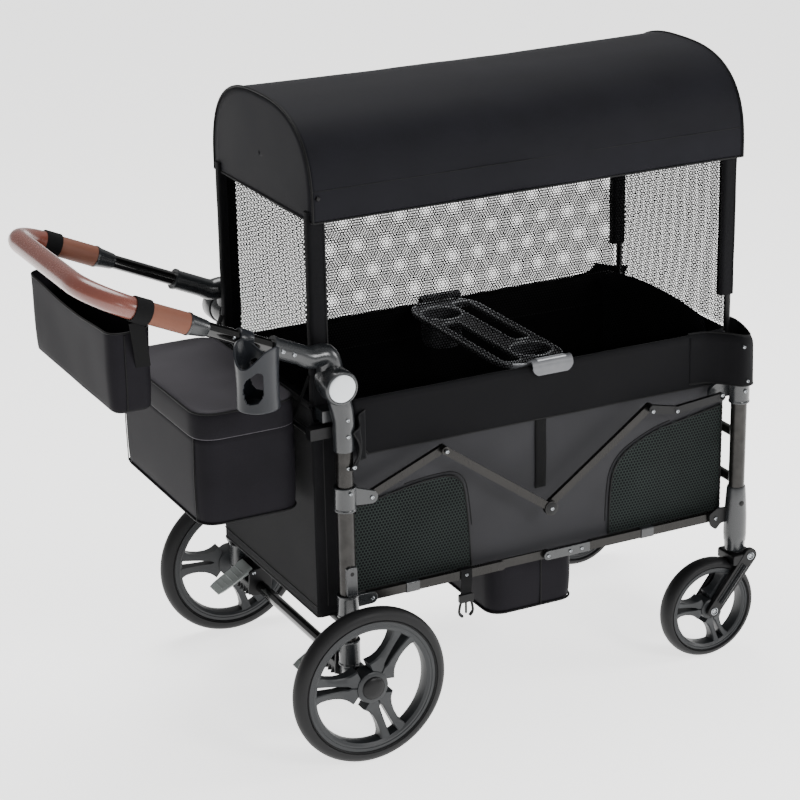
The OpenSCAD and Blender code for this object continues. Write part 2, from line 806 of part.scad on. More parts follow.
module front_rim(left) {
    color(rim_colour) on_side(left) translate([front_axle_x, leg_y, front_wheel_r])
        wheel_rim(front_wheel_d, front_tyre_w - 6, 44, pin_d + 2 * running);
}

module caster_fork(left) {
    y = leg_y;
    color(plastic_colour) on_side(left) {
        bar([front_leg_x, y, fork_z - 8], [front_leg_x, y, socket_z0 + 38], axle_d);
        block([front_leg_x - 14, y - fork_inner - fork_arm_t + link_relief, fork_z - 8],
            [front_leg_x + 20, y + fork_inner + fork_arm_t - link_relief, fork_z + 1]);
        for (y0 = [y - fork_inner - fork_arm_t, y + fork_inner])
            flat_link([fork_pivot_x, fork_pivot_z - 4], [front_axle_x, front_wheel_r], 24, y0, y0 + fork_arm_t);
        disc_y(front_axle_x, front_wheel_r, pin_d / 2, y - fork_inner, y + fork_inner);
    }
}

// ---- Tray ----

module tray() {
    x0 = rail_mid - 68;
    x1 = rail_mid + 68;
    z1 = rim_z - 4;
    y = tub_y - wall - gap;
    cup_y = y - cup_d / 2 - 32.5;
    cups = [[x0 + cup_d / 2 + 4, cup_y], [x1 - cup_d / 2 - 4, -cup_y]];
    color(plastic_colour) {
        difference() {
            translate([0, 0, z1 - 8]) linear_extrude(8) rounded_rect([x0, -y], [x1, y], 24);
            for (c = cups) translate([c[0], c[1], z1 - 20]) cylinder(d = cup_d - 6, h = 30);
            for (s = [-1, 1]) translate([rail_mid, 0, z1 - 20]) rotate([0, 0, 90 * (1 - s)])
                linear_extrude(30) rounded_rect([18, -cup_y + 54], [56, cup_y + 47], 16);
        }
        for (c = cups) translate([c[0], c[1], z1 - 62]) difference() {
            cylinder(d = cup_d, h = 62);
            translate([0, 0, 3]) cylinder(d = cup_d - 6, h = 62);
        }
        both_sides() {
            block([x0 + 40, y - 12, z1 - 4], [x1 - 10, y, rim_z + 6]);
            block([x0 + 40, y - 12, rim_z + 1], [x1 - 10, tub_y + band_t + 6, rim_z + 6]);
            block([x0 + 40, tub_y + band_t + 1, rim_z - 26], [x1 - 10, tub_y + band_t + 6, rim_z + 6]);
        }
    }
}

// ---- Nodes ----

placed() rear_legs();
placed() hub_sockets();
placed() rear_axle();
placed() rear_crossbars();
placed() rear_brackets();
placed() leg_bolts();
placed() brake_housings();
placed() brake_cable();
placed() rear_panel();
placed() rear_curtain();
placed() rear_poles();
placed() side_panels();
placed() rim_bands();
placed() floor_panel();
placed() footwell();
placed() seat_cushions();
placed() canopy_roof();
placed() side_curtains();
placed() storage_box();
placed() box_lid();
placed() handle_arms();
placed() handle_elbows();
placed() handle_grip();
placed() handle_bag();
placed() cup_holder();
placed() on_side(true) hub_button();  // hub_button_l
placed() on_side(false) hub_button();  // hub_button_r
placed() on_side(true) brake_pedal();  // brake_pedal_l
placed() on_side(false) brake_pedal();  // brake_pedal_r
placed() front_legs();
placed() front_collars();
placed() front_sockets();
placed() front_crossbars();
placed() front_panel();
placed() front_curtain();
placed() front_poles();
placed() link_rear(true);  // link_rear_l
placed() link_rear(false);  // link_rear_r
placed() link_long_rear(true);  // link_long_rear_l
placed() link_long_rear(false);  // link_long_rear_r
placed() link_long_front(true);  // link_long_front_l
placed() link_long_front(false);  // link_long_front_r
placed() link_front(true);  // link_front_l
placed() link_front(false);  // link_front_r
placed() rail_rear(true);  // rail_rear_l
placed() rail_rear(false);  // rail_rear_r
placed() rail_front(true);  // rail_front_l
placed() rail_front(false);  // rail_front_r
placed() rear_tyre(true);  // tyre_rear_l
placed() rear_tyre(false);  // tyre_rear_r
placed() rear_rim(true);  // rim_rear_l
placed() rear_rim(false);  // rim_rear_r
placed() caster_fork(true);  // caster_fork_l
placed() caster_fork(false);  // caster_fork_r
placed() front_tyre(true);  // tyre_front_l
placed() front_tyre(false);  // tyre_front_r
placed() front_rim(true);  // rim_front_l
placed() front_rim(false);  // rim_front_r
placed() tray();
placed() buckle_strap();
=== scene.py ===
import math

import bpy
from mathutils import Matrix, Vector, noise


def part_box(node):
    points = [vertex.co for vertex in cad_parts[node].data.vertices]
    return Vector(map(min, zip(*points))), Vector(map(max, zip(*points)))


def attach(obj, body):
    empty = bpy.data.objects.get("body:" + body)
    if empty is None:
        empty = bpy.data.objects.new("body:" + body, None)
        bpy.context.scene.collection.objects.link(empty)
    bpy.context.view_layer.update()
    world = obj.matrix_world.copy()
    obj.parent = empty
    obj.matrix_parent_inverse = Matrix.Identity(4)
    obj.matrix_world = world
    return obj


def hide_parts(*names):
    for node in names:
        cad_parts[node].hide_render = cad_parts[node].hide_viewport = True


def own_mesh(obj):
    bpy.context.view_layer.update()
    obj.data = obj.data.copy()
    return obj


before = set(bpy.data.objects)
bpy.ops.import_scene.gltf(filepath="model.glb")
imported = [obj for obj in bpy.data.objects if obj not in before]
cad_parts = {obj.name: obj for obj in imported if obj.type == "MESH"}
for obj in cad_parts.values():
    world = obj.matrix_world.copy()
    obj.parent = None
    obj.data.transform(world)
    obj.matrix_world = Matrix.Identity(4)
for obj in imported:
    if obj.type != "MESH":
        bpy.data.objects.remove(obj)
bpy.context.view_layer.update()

# ---- The frame's measures ----


class Span:
    """A CAD node's box at rest, in metres."""

    def __init__(self, node):
        low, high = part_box(node)
        self.x0, self.y0, self.z0 = low
        self.x1, self.y1, self.z1 = high
        self.cx, self.cy, self.cz = (low + high) / 2


MM = 0.001


def mm(*points):
    """Points given in millimetres."""
    return [tuple(v * MM for v in p) for p in points]


def at(base, *offsets):
    """Points at offsets in millimetres from a base."""
    return [tuple(b + v * MM for b, v in zip(base, p)) for p in offsets]


def rect(a0, b0, a1, b1):
    """A rectangle's corners."""
    return [(a0, b0), (a1, b0), (a1, b1), (a0, b1)]


rear_tyre, front_tyre = Span("tyre_rear_l"), Span("tyre_front_l")
rear_leg, front_leg = Span("rear_legs"), Span("front_legs")
hub, socket = Span("hub_button_l"), Span("front_sockets")
arms, bag = Span("handle_arms"), Span("handle_bag")
side, band = Span("side_panels"), Span("rim_bands")
back_wall, front_wall = Span("rear_panel"), Span("front_panel")
floor, well, roof = Span("floor_panel"), Span("footwell"), Span("canopy_roof")
seats, tray, box_body, lid = Span("seat_cushions"), Span("tray"), Span("storage_box"), Span("box_lid")
holder, collar, fork = Span("cup_holder"), Span("front_collars"), Span("caster_fork_l")
rear_net, front_net, side_net = Span("rear_curtain"), Span("front_curtain"), Span("side_curtains")
rear_pole, front_pole = Span("rear_poles"), Span("front_poles")
rail = Span("rail_rear_l")

LEG_R = (rear_leg.x1 - rear_leg.x0) / 2
LEG_Y = rear_leg.y1 - LEG_R
RIM_Z = side.z1
ARM_ANGLE = math.radians(24)
ARM = Vector((-math.cos(ARM_ANGLE), 0, math.sin(ARM_ANGLE)))
ARM_R = 12.5 * MM
ARM_Y = arms.y1 - ARM_R
ARM_FOOT = Vector((arms.x1 - ARM_R * math.sin(ARM_ANGLE), 0, arms.z0 + ARM_R * math.cos(ARM_ANGLE)))
GRIP_R, GRIP_BEND, GRIP_REACH = 19 * MM, 90 * MM, 368 * MM
BAG_LOOP_AT = 281 * MM
BAND_BOTTOM = band.z0


# ---- Camera, light and floor ----

CAMERA_PLACE, CAMERA_TURN, LENS = (-1.85156, -3.74189, 2.09232), (26.6525, 20.4488, -1.0829), 110.54


def camera():
    yaw, pitch, roll = (math.radians(a) for a in CAMERA_TURN)
    back = Vector((-math.sin(yaw) * math.cos(pitch), -math.cos(yaw) * math.cos(pitch), math.sin(pitch)))
    right = Vector((math.cos(yaw), -math.sin(yaw), 0))
    up = back.cross(right)
    across = right * math.cos(roll) + up * math.sin(roll)
    upright = up * math.cos(roll) - right * math.sin(roll)
    cam = bpy.data.objects.new("camera", bpy.data.cameras.new("camera"))
    cam.data.sensor_width = 36
    cam.data.lens = LENS
    cam.data.clip_end = 40
    turn = Matrix((across, upright, back)).transposed().to_4x4()
    cam.matrix_world = Matrix.Translation(CAMERA_PLACE) @ turn
    bpy.context.collection.objects.link(cam)
    bpy.context.scene.camera = cam


def lamp(name, place, target, size, power):
    light = bpy.data.lights.new(name, "AREA")
    light.shape, light.size, light.energy = "DISK", size, power
    obj = bpy.data.objects.new(name, light)
    obj.location = place
    obj.rotation_euler = (Vector(target) - Vector(place)).to_track_quat("-Z", "Y").to_euler()
    bpy.context.collection.objects.link(obj)


def studio():
    lamp("key", (1.2, -3.6, 2.4), (0, 0, 0.5), 1.4, 95)
    lamp("top", (0.2, 0.9, 3.4), (0, 0, 0.6), 2.0, 90)
    lamp("front", (2.9, -1.2, 1.5), (0.2, 0, 0.4), 1.2, 40)
    lamp("rim", (-1.6, -3.4, 1.6), (-0.3, 0, 0.7), 0.3, 8)
    world = bpy.data.worlds.new("studio")
    world.use_nodes = True
    world.node_tree.nodes["Background"].inputs[0].default_value = (1, 1, 1, 1)
    world.node_tree.nodes["Background"].inputs[1].default_value = 0.4
    bpy.context.scene.world = world
    mesh = bpy.data.meshes.new("floor")
    half = 14
    mesh.from_pydata([(-half, -half, 0), (half, -half, 0), (half, half, 0), (-half, half, 0)], [],
                     [(0, 1, 2, 3)])
    plane = bpy.data.objects.new("floor", mesh)
    mat = bpy.data.materials.new("floor")
    mat.use_nodes = True
    shader = mat.node_tree.nodes["Principled BSDF"]
    shader.inputs["Base Color"].default_value = (0.9, 0.895, 0.885, 1)
    shader.inputs["Roughness"].default_value = 0.75
    shader.inputs["Emission Color"].default_value = (1, 0.997, 0.99, 1)
    shader.inputs["Emission Strength"].default_value = 1.9
    mesh.materials.append(mat)
    bpy.context.collection.objects.link(plane)


# ---- Materials ----

def linear(hex_colour):
    parts = (int(hex_colour[i:i + 2], 16) / 255 for i in (1, 3, 5))
    return tuple(c / 12.92 if c <= 0.04045 else ((c + 0.055) / 1.055) ** 2.4 for c in parts)


class Nodes:
    """Short calls for building a material's node tree."""

    def __init__(self, mat):
        self.tree = mat.node_tree
        self.coords = self.tree.nodes.new("ShaderNodeTexCoord").outputs["Object"]

    def put(self, socket, value):
        if hasattr(value, "is_output"):
            self.tree.links.new(value, socket)
        else:
            socket.default_value = value

    def math(self, operation, *values):
        node = self.tree.nodes.new("ShaderNodeMath")
        node.operation = operation
        for socket, value in zip(node.inputs, values):
            self.put(socket, value)
        return node.outputs[0]

    def noise(self, scale, detail=2.0, stretch=None):
        node = self.tree.nodes.new("ShaderNodeTexNoise")
        node.inputs["Scale"].default_value = scale
        node.inputs["Detail"].default_value = detail
        coords = self.coords
        if stretch:
            mapping = self.tree.nodes.new("ShaderNodeMapping")
            mapping.inputs["Scale"].default_value = stretch
            self.put(mapping.inputs["Vector"], coords)
            coords = mapping.outputs[0]
        self.put(node.inputs["Vector"], coords)
        return node.outputs[0]

    def cells(self, scale):
        node = self.tree.nodes.new("ShaderNodeTexVoronoi")
        node.inputs["Scale"].default_value = scale
        self.put(node.inputs["Vector"], self.coords)
        return node.outputs["Distance"]

    def stripes(self, direction, period):
        """Ridges across a direction, from 0 to 1."""
        node = self.tree.nodes.new("ShaderNodeVectorMath")
        node.operation = "DOT_PRODUCT"
        self.put(node.inputs[0], self.coords)
        node.inputs[1].default_value = Vector(direction) * (2 * math.pi / period)
        return self.math("MULTIPLY_ADD", self.math("SINE", node.outputs["Value"]), 0.5, 0.5)

    def weave(self, period):
        """Two crossing yarns that show on a face of any direction."""
        warp = self.stripes((1, 0.35, 1), period)
        weft = self.stripes((0.35, 1, -1), period)
        return self.math("MULTIPLY", warp, weft)

    def blend(self, amount, low, high):
        node = self.tree.nodes.new("ShaderNodeMix")
        node.data_type = "RGBA"
        self.put(node.inputs[0], amount)
        self.put(node.inputs[6], low)
        self.put(node.inputs[7], high)
        return node.outputs[2]

    def ramp(self, value, low, high):
        """Maps low..high of a value to 0..1."""
        node = self.tree.nodes.new("ShaderNodeMapRange")
        for socket, v in zip(node.inputs, (value, low, high, 0.0, 1.0)):
            self.put(socket, v)
        return node.outputs[0]


def shade(rgb, factor):
    return (*(min(1.0, c * factor) for c in rgb), 1.0)


def surface(name, colour, roughness, texture, depth, light=1.35, dark=0.72, edge_highlight=0.0, **constants):
    """A material whose fine texture, given by a function of the nodes, drives its colour, gloss and relief; it
    can also paint highlight onto convex edges in noisy patches.
    """
    mat = bpy.data.materials.new(name)
    mat.use_nodes = True
    kit = Nodes(mat)
    shader = mat.node_tree.nodes["Principled BSDF"]
    rgb = linear(colour)
    fine = texture(kit)
    broad = kit.ramp(kit.noise(9.0, 3.0), 0.3, 0.7)
    tone = kit.math("MULTIPLY_ADD", broad, 0.45, kit.math("MULTIPLY", fine, 0.55))
    base = kit.blend(tone, shade(rgb, dark), shade(rgb, light))
    # Painted highlight: convex edges (high pointiness) are lightened in noisy patches, standing in for light
    # caught along them.
    if edge_highlight:
        geometry = mat.node_tree.nodes.new("ShaderNodeNewGeometry")
        edge = kit.ramp(geometry.outputs["Pointiness"], 0.52, 0.6)
        painted_glint = kit.math("MULTIPLY", edge, kit.ramp(kit.noise(60.0, 4.0), 0.35, 0.65))
        base = kit.blend(kit.math("MULTIPLY", painted_glint, edge_highlight), base, shade(rgb, 2.6))
    kit.put(shader.inputs["Base Color"], base)
    kit.put(shader.inputs["Roughness"], kit.math("MULTIPLY_ADD", tone, 0.12, roughness - 0.06))
    bump = mat.node_tree.nodes.new("ShaderNodeBump")
    bump.inputs["Strength"].default_value = 0.7
    bump.inputs["Distance"].default_value = depth
    kit.put(bump.inputs["Height"], fine)
    kit.put(shader.inputs["Normal"], bump.outputs[0])
    for socket, value in constants.items():
        shader.inputs[socket.replace("_", " ")].default_value = value
    return mat


def yarn(kit):
    return kit.weave(1.6 * MM)


def coarse_yarn(kit):
    return kit.weave(3.0 * MM)


def leather_grain(kit):
    return kit.math("MULTIPLY_ADD", kit.cells(520.0), 0.8, kit.math("MULTIPLY", kit.noise(900.0), 0.3))


def moulded(kit):
    return kit.noise(1400.0, 3.0)


def drawn(kit):
    return kit.noise(260.0, 3.0, (1, 1, 0.15))


def rubber_bloom(kit):
    return kit.noise(420.0, 5.0)


# Materials given an edge amount get painted highlight along their convex edges.
MATERIALS = {
    "canopy": surface("canopy", "#151519", 0.62, yarn, 0.12 * MM, Specular_IOR_Level=0.06, Sheen_Weight=0.03,
                      Sheen_Roughness=0.4),
    "fabric": surface("fabric", "#0d0d0f", 0.8, yarn, 0.15 * MM, Specular_IOR_Level=0.06, Sheen_Weight=0.05,
                      Sheen_Roughness=0.5),
    "panel": surface("panel", "#202023", 0.62, yarn, 0.12 * MM, Specular_IOR_Level=0.18, Sheen_Weight=0.12,
                     Sheen_Roughness=0.45),
    "coated": surface("coated", "#18171a", 0.5, leather_grain, 0.12 * MM, Specular_IOR_Level=0.03),
    # Painted light: a lighter copy of coated, put on the lid's flat faces so its top reads lit from above.
    "lid": surface("lid", "#3d3b3f", 0.5, leather_grain, 0.1 * MM, Specular_IOR_Level=0.1),
    "webbing": surface("webbing", "#0b0b0c", 0.75, coarse_yarn, 0.3 * MM, Specular_IOR_Level=0.1),
    "piping": surface("piping", "#0b0b0c", 0.6, coarse_yarn, 0.15 * MM, Specular_IOR_Level=0.15),
    "netting": surface("netting", "#030303", 0.8, coarse_yarn, 0.1 * MM, Specular_IOR_Level=0),
    "pocket_net": surface("pocket_net", "#252b29", 0.7, coarse_yarn, 0.1 * MM, Specular_IOR_Level=0.1),
    "inner_net": surface("inner_net", "#121214", 0.85, coarse_yarn, 0.4 * MM, Specular_IOR_Level=0, light=2.2,
                         dark=0.3),
    "tube": surface("tube", "#262524", 0.28, drawn, 0.03 * MM, edge_highlight=0.3, Metallic=0.8),
    "gloss_tube": surface("gloss_tube", "#0b0b0b", 0.14, drawn, 0.02 * MM, Metallic=0.3, Coat_Weight=0.6),
    "plastic": surface("plastic", "#1c1e20", 0.28, moulded, 0.05 * MM, edge_highlight=0.25, Coat_Weight=0.2,
                       Coat_Roughness=0.2),
    "dark_plastic": surface("dark_plastic", "#0b0b0c", 0.4, moulded, 0.05 * MM, edge_highlight=0.2,
                            Specular_IOR_Level=0.2),
    "tray": surface("tray", "#57585b", 0.4, moulded, 0.05 * MM, edge_highlight=0.3),
    # Painted highlight: a much lighter copy of the tray grey, for its edge beads and hook tops.
    "tray_highlight": surface("tray_highlight", "#a3a5a8", 0.35, moulded, 0.05 * MM),
    "holder": surface("holder", "#1b1d21", 0.3, moulded, 0.04 * MM, edge_highlight=0.25, Specular_IOR_Level=0.25),
    "button": surface("button", "#d3d7da", 0.3, moulded, 0.02 * MM, light=1.05, dark=0.94),
    "pedal": surface("pedal", "#767b79", 0.5, moulded, 0.05 * MM, edge_highlight=0.15),
    "tyre": surface("tyre", "#121213", 0.52, rubber_bloom, 0.08 * MM, Specular_IOR_Level=0.2, edge_highlight=0.2),
    "rim": surface("rim", "#1b1d1f", 0.42, moulded, 0.05 * MM, Specular_IOR_Level=0.35, edge_highlight=0.2),
    "bolt": surface("bolt", "#8f9295", 0.25, drawn, 0.01 * MM, Metallic=1.0),
    "grip": surface("grip", "#6e3d33", 0.26, leather_grain, 0.05 * MM, light=1.15, dark=0.85, Coat_Weight=0.4,
                    Coat_Roughness=0.25),
    "sleeve": surface("sleeve", "#6a4030", 0.6, leather_grain, 0.1 * MM, Specular_IOR_Level=0.3, light=1.15,
                      dark=0.85),
}

SLOTS = {name: name for name in MATERIALS}
SLOTS.update({
    "dark_plastic": "plastic", "sleeve": "grip", "piping": "fabric", "holder": "plastic",
    "pocket_net": "mesh", "coated": "fabric", "inner_net": "fabric", "canopy": "fabric",
    "webbing": "fabric", "lid": "fabric", "tray": "plastic", "tray_highlight": "plastic",
    "panel": "panel_fabric", "netting": "mesh"
})


# ---- Geometry ----

class Shape:
    """Vertices and faces that grow piece by piece."""

    def __init__(self):
        self.verts = []
        self.faces = []

    def add(self, verts, faces):
        first = len(self.verts)
        self.verts += [Vector(v) for v in verts]
        self.faces += [[first + i for i in f] for f in faces]
        return self

    def loft(self, rings, caps=True, closed=False):
        """Joins rings of equal length with quads."""
        n, sides = len(rings), len(rings[0])
        faces = []
        for i in range(n if closed else n - 1):
            a, b = i * sides, (i + 1) % n * sides
            faces += [[a + k, a + (k + 1) % sides, b + (k + 1) % sides, b + k] for k in range(sides)]
        if caps and not closed:
            faces += [list(range(sides))[::-1], list(range((n - 1) * sides, n * sides))]
        return self.add([p for ring in rings for p in ring], faces)

    def tube(self, points, radius, sides=12, caps=True, flat=1.0, closed=False):
        """A round or oval bar along points; radius is one value or one for each point."""
        points = [Vector(p) for p in points]
        n = len(points)
        radii = radius if isinstance(radius, (list, tuple)) else [radius] * n
        rings, side_dir = [], None
        for i, p in enumerate(points):
            before, after = (points[i - 1], points[(i + 1) % n]) if closed else (points[max(i - 1, 0)],
                points[min(i + 1, n - 1)])
            along = (after - before).normalized()
            if side_dir is None:
                seed = Vector((0, 0, 1)) if abs(along.z) < 0.9 else Vector((1, 0, 0))
                side_dir = along.cross(seed).normalized()
            side_dir = (side_dir - along * side_dir.dot(along)).normalized()
            other = along.cross(side_dir)
            rings.append([p + radii[i] * (side_dir * math.cos(t) + other * flat * math.sin(t))
                          for t in (2 * math.pi * k / sides for k in range(sides))])
        return self.loft(rings, caps, closed)

    def lathe(self, profile, centre, axis="y", segments=64):
        """Turns a closed profile of (radius, along) points round an axis."""
        turned = []
        for k in range(segments):
            c, s = math.cos(2 * math.pi * k / segments), math.sin(2 * math.pi * k / segments)
            ring = []
            for r, t in profile:
                place = {"y": (r * c, t, r * s), "z": (r * c, r * s, t), "x": (t, r * c, r * s)}[axis]
                ring.append(Vector(centre) + Vector(place))
            turned.append(ring)
        return self.loft(turned, closed=True)

    def knob(self, profile, centre, axis="y", segments=32):
        """Turns an open profile that starts and ends on the axis."""
        rings = []
        for r, t in profile:
            ring = []
            for k in range(segments):
                c, s = math.cos(2 * math.pi * k / segments), math.sin(2 * math.pi * k / segments)
                place = {"y": (r * c, t, r * s), "z": (r * c, r * s, t), "x": (t, r * c, r * s)}[axis]
                ring.append(Vector(centre) + Vector(place))
            rings.append(ring)
        return self.loft(rings)

    def plate(self, outline, low, high, axis="y"):
        """A flat outline of (a, b) points made solid along an axis."""
        def place(a, b, t):
            return {"y": (a, t, b), "z": (a, b, t), "x": (t, a, b)}[axis]
        return self.loft([[place(a, b, low) for a, b in outline], [place(a, b, high) for a, b in outline]])

    def block(self, a, b):
        return self.plate(rect(a[0], a[2], b[0], b[2]), a[1], b[1])

    def grid(self, place, nu, nv, close_u=False):
        """A sheet from a function of (u, v), each from 0 to 1."""
        cols = nu if close_u else nu + 1
        verts = [place(i / nu, j / nv) for j in range(nv + 1) for i in range(cols)]
        faces = []
        for j in range(nv):
            for i in range(nu):
                k = (i + 1) % cols
                faces.append([j * cols + i, j * cols + k, (j + 1) * cols + k, (j + 1) * cols + i])
        return self.add(verts, faces)

    def mirrored(self, side):
        """The same shape on the other side of the wagon, for side = -1."""
        if side < 0:
            self.verts = [Vector((v.x, -v.y, v.z)) for v in self.verts]
            self.faces = [f[::-1] for f in self.faces]
        return self

    def both(self):
        """The shape with its mirror image."""
        n = len(self.verts)
        self.verts += [Vector((v.x, -v.y, v.z)) for v in self.verts]
        self.faces += [[n + i for i in f[::-1]] for f in self.faces]
        return self


def build(name, shape, material, body, nodes=(), bevel=0.0, thick=0.0, subdivide=0, sharp=38, slot=None):
    """Makes an object of a shape, gives it its looks and lets it ride on its body."""
    mesh = bpy.data.meshes.new(name)
    mesh.from_pydata(shape.verts, [], shape.faces)
    mesh.validate()
    obj = bpy.data.objects.new(name, mesh)
    bpy.context.collection.objects.link(obj)
    mesh.materials.append(MATERIALS[material])
    if subdivide:
        refine = obj.modifiers.new("refine", "SUBSURF")
        refine.levels = refine.render_levels = subdivide
    if thick:
        shell = obj.modifiers.new("shell", "SOLIDIFY")
        shell.thickness = thick
        shell.offset = 0
    if bevel:
        soften = obj.modifiers.new("soften", "BEVEL")
        soften.width, soften.segments, soften.limit_method = bevel, 2, "ANGLE"
        soften.harden_normals = True
    mesh.shade_smooth()
    mesh.set_sharp_from_angle(angle=math.radians(sharp))
    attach(obj, body)
    slot or SLOTS[material]
    if nodes:
        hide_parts(*nodes)
    return obj


def rounded(points, radius, steps=6):
    """Rounds the corners of a closed outline with arcs."""
    out, n = [], len(points)
    for i, p in enumerate(points):
        p = Vector(p)
        a, b = (Vector(points[i - 1]) - p), (Vector(points[(i + 1) % n]) - p)
        r = radius[i] if isinstance(radius, (list, tuple)) else radius
        r = min(r, a.length * 0.49, b.length * 0.49)
        start, end = p + a.normalized() * r, p + b.normalized() * r
        for k in range(steps + 1):
            t = k / steps
            out.append(tuple(start * (1 - t) ** 2 + p * 2 * t * (1 - t) + end * t ** 2))
    return out


def smooth_path(points, steps=6):
    """A curve through points, by Catmull-Rom."""
    pts = [Vector(p) for p in points]
    out = []
    for i in range(len(pts) - 1):
        a, b, c, d = pts[max(i - 1, 0)], pts[i], pts[i + 1], pts[min(i + 2, len(pts) - 1)]
        for k in range(steps):
            t = k / steps
            out.append(0.5 * (2 * b + (c - a) * t + (2 * a - 5 * b + 4 * c - d) * t ** 2
                              + (3 * b - a - 3 * c + d) * t ** 3))
    return out + [pts[-1]]


def bolts(shape, places, radius=4 * MM, height=2.2 * MM, way=1):
    """Dome heads with a hex recess, on faces that look along Y."""
    for x, y, z in places:
        profile = [(0.45 * radius, height * 0.45 * way), (0.5 * radius, height * way),
                   (0.8 * radius, height * 0.85 * way), (radius, height * 0.3 * way), (radius, -height * way)]
        shape.knob([(0.001 * radius, height * 0.45 * way)] + profile, (x, y, z), "y", 20)
    return shape


def sides():
    return (("l", 1), ("r", -1))


# ---- Wheels ----

def wheel(name, tyre, tyre_node, rim_node, body, side, dome):
    """A tyre with a grooved wall, and a rim with three pairs of flared spokes."""
    R, w = (tyre.z1 - tyre.z0) / 2, (tyre.y1 - tyre.y0) / 2
    centre = (tyre.cx, tyre.cy, tyre.cz)
    crown = [(R * math.cos(a) ** 0.9 * 0.12 + R * 0.88, w * math.sin(a))
             for a in (math.radians(d) for d in range(-80, 81, 16))]
    wall = [(R * 0.872, w), (R * 0.862, w * 0.9), (R * 0.852, w), (R * 0.84, w * 0.9), (R * 0.83, w * 0.5)]
    profile = crown + wall + [(r, -t) for r, t in wall[::-1]]
    tread = Shape().lathe(profile, centre, segments=96)
    build(name + "_tyre", tread.mirrored(side), "tyre", body, (tyre_node,))
    ring = [(R * 0.842, w * 0.5), (R * 0.842, w * 0.86), (R * 0.80, w * 0.9), (R * 0.795, w * 0.84),
            (R * 0.77, w * 0.86), (R * 0.735, w * 0.7), (R * 0.722, w * 0.3)]
    shape = Shape().lathe(ring + [(r, -t) for r, t in ring[::-1]], centre, segments=96)
    rows = ((0.15, 0.10, 0), (0.22, 0.215, 0), (0.27, 0.18, 0.0), (0.31, 0.158, 0.02), (0.38, 0.137, 0.026),
            (0.48, 0.128, 0.034), (0.58, 0.135, 0.042), (0.66, 0.152, 0.049), (0.71, 0.18, 0.054),
            (0.745, 0.215, 0.056))
    for group in range(3):
        turn = math.radians(52 + 120 * group)
        for hand in (1, -1):
            rings = []
            for r, outer, inner in rows:
                depth = w * (0.8 - 0.25 * math.sin(math.pi * min(1, max(0, (r - 0.2) / 0.55))))
                section = ((inner, depth * 0.86), (inner + 0.012, depth), (outer - 0.02, depth * 0.92),
                           (outer, depth * 0.7), (outer, -depth), (inner, -depth))
                rings.append([(centre[0] + R * (r * math.cos(turn) - hand * v * math.sin(turn)), centre[1] + y,
                               centre[2] + R * (r * math.sin(turn) + hand * v * math.cos(turn)))
                              for v, y in section])
            shape.loft(rings if hand > 0 else [r[::-1] for r in rings])
    barrel = [(0.05, w * 1.0), (0.17, w * 1.0), (0.2, w * 0.86), (0.21, w * 0.5), (0.21, -w * 0.9), (0.05, -w)]
    shape.lathe([(R * r, t) for r, t in barrel], centre, segments=48)
    build(name + "_rim", shape.mirrored(side), "rim", body, (rim_node,), sharp=32)
    if dome:
        cap = [(R * 0.148 * math.sin(a), w * 0.98 + R * 0.05 * math.cos(a))
               for a in (math.radians(d) for d in (1, 12, 24, 36, 48, 60, 72, 84, 92))]
        cap = Shape().knob(cap, centre, segments=40).mirrored(side)
        build(name + "_cap", cap, "dark_plastic", body, slot="rim")


def wheels():
    for s, side in sides():
        wheel("rear_wheel_" + s, rear_tyre, "tyre_rear_" + s, "rim_rear_" + s, "rear_wheel_" + s, side, True)
        wheel("front_wheel_" + s, front_tyre, "tyre_front_" + s, "rim_front_" + s, "front_wheel_" + s, side,
              False)


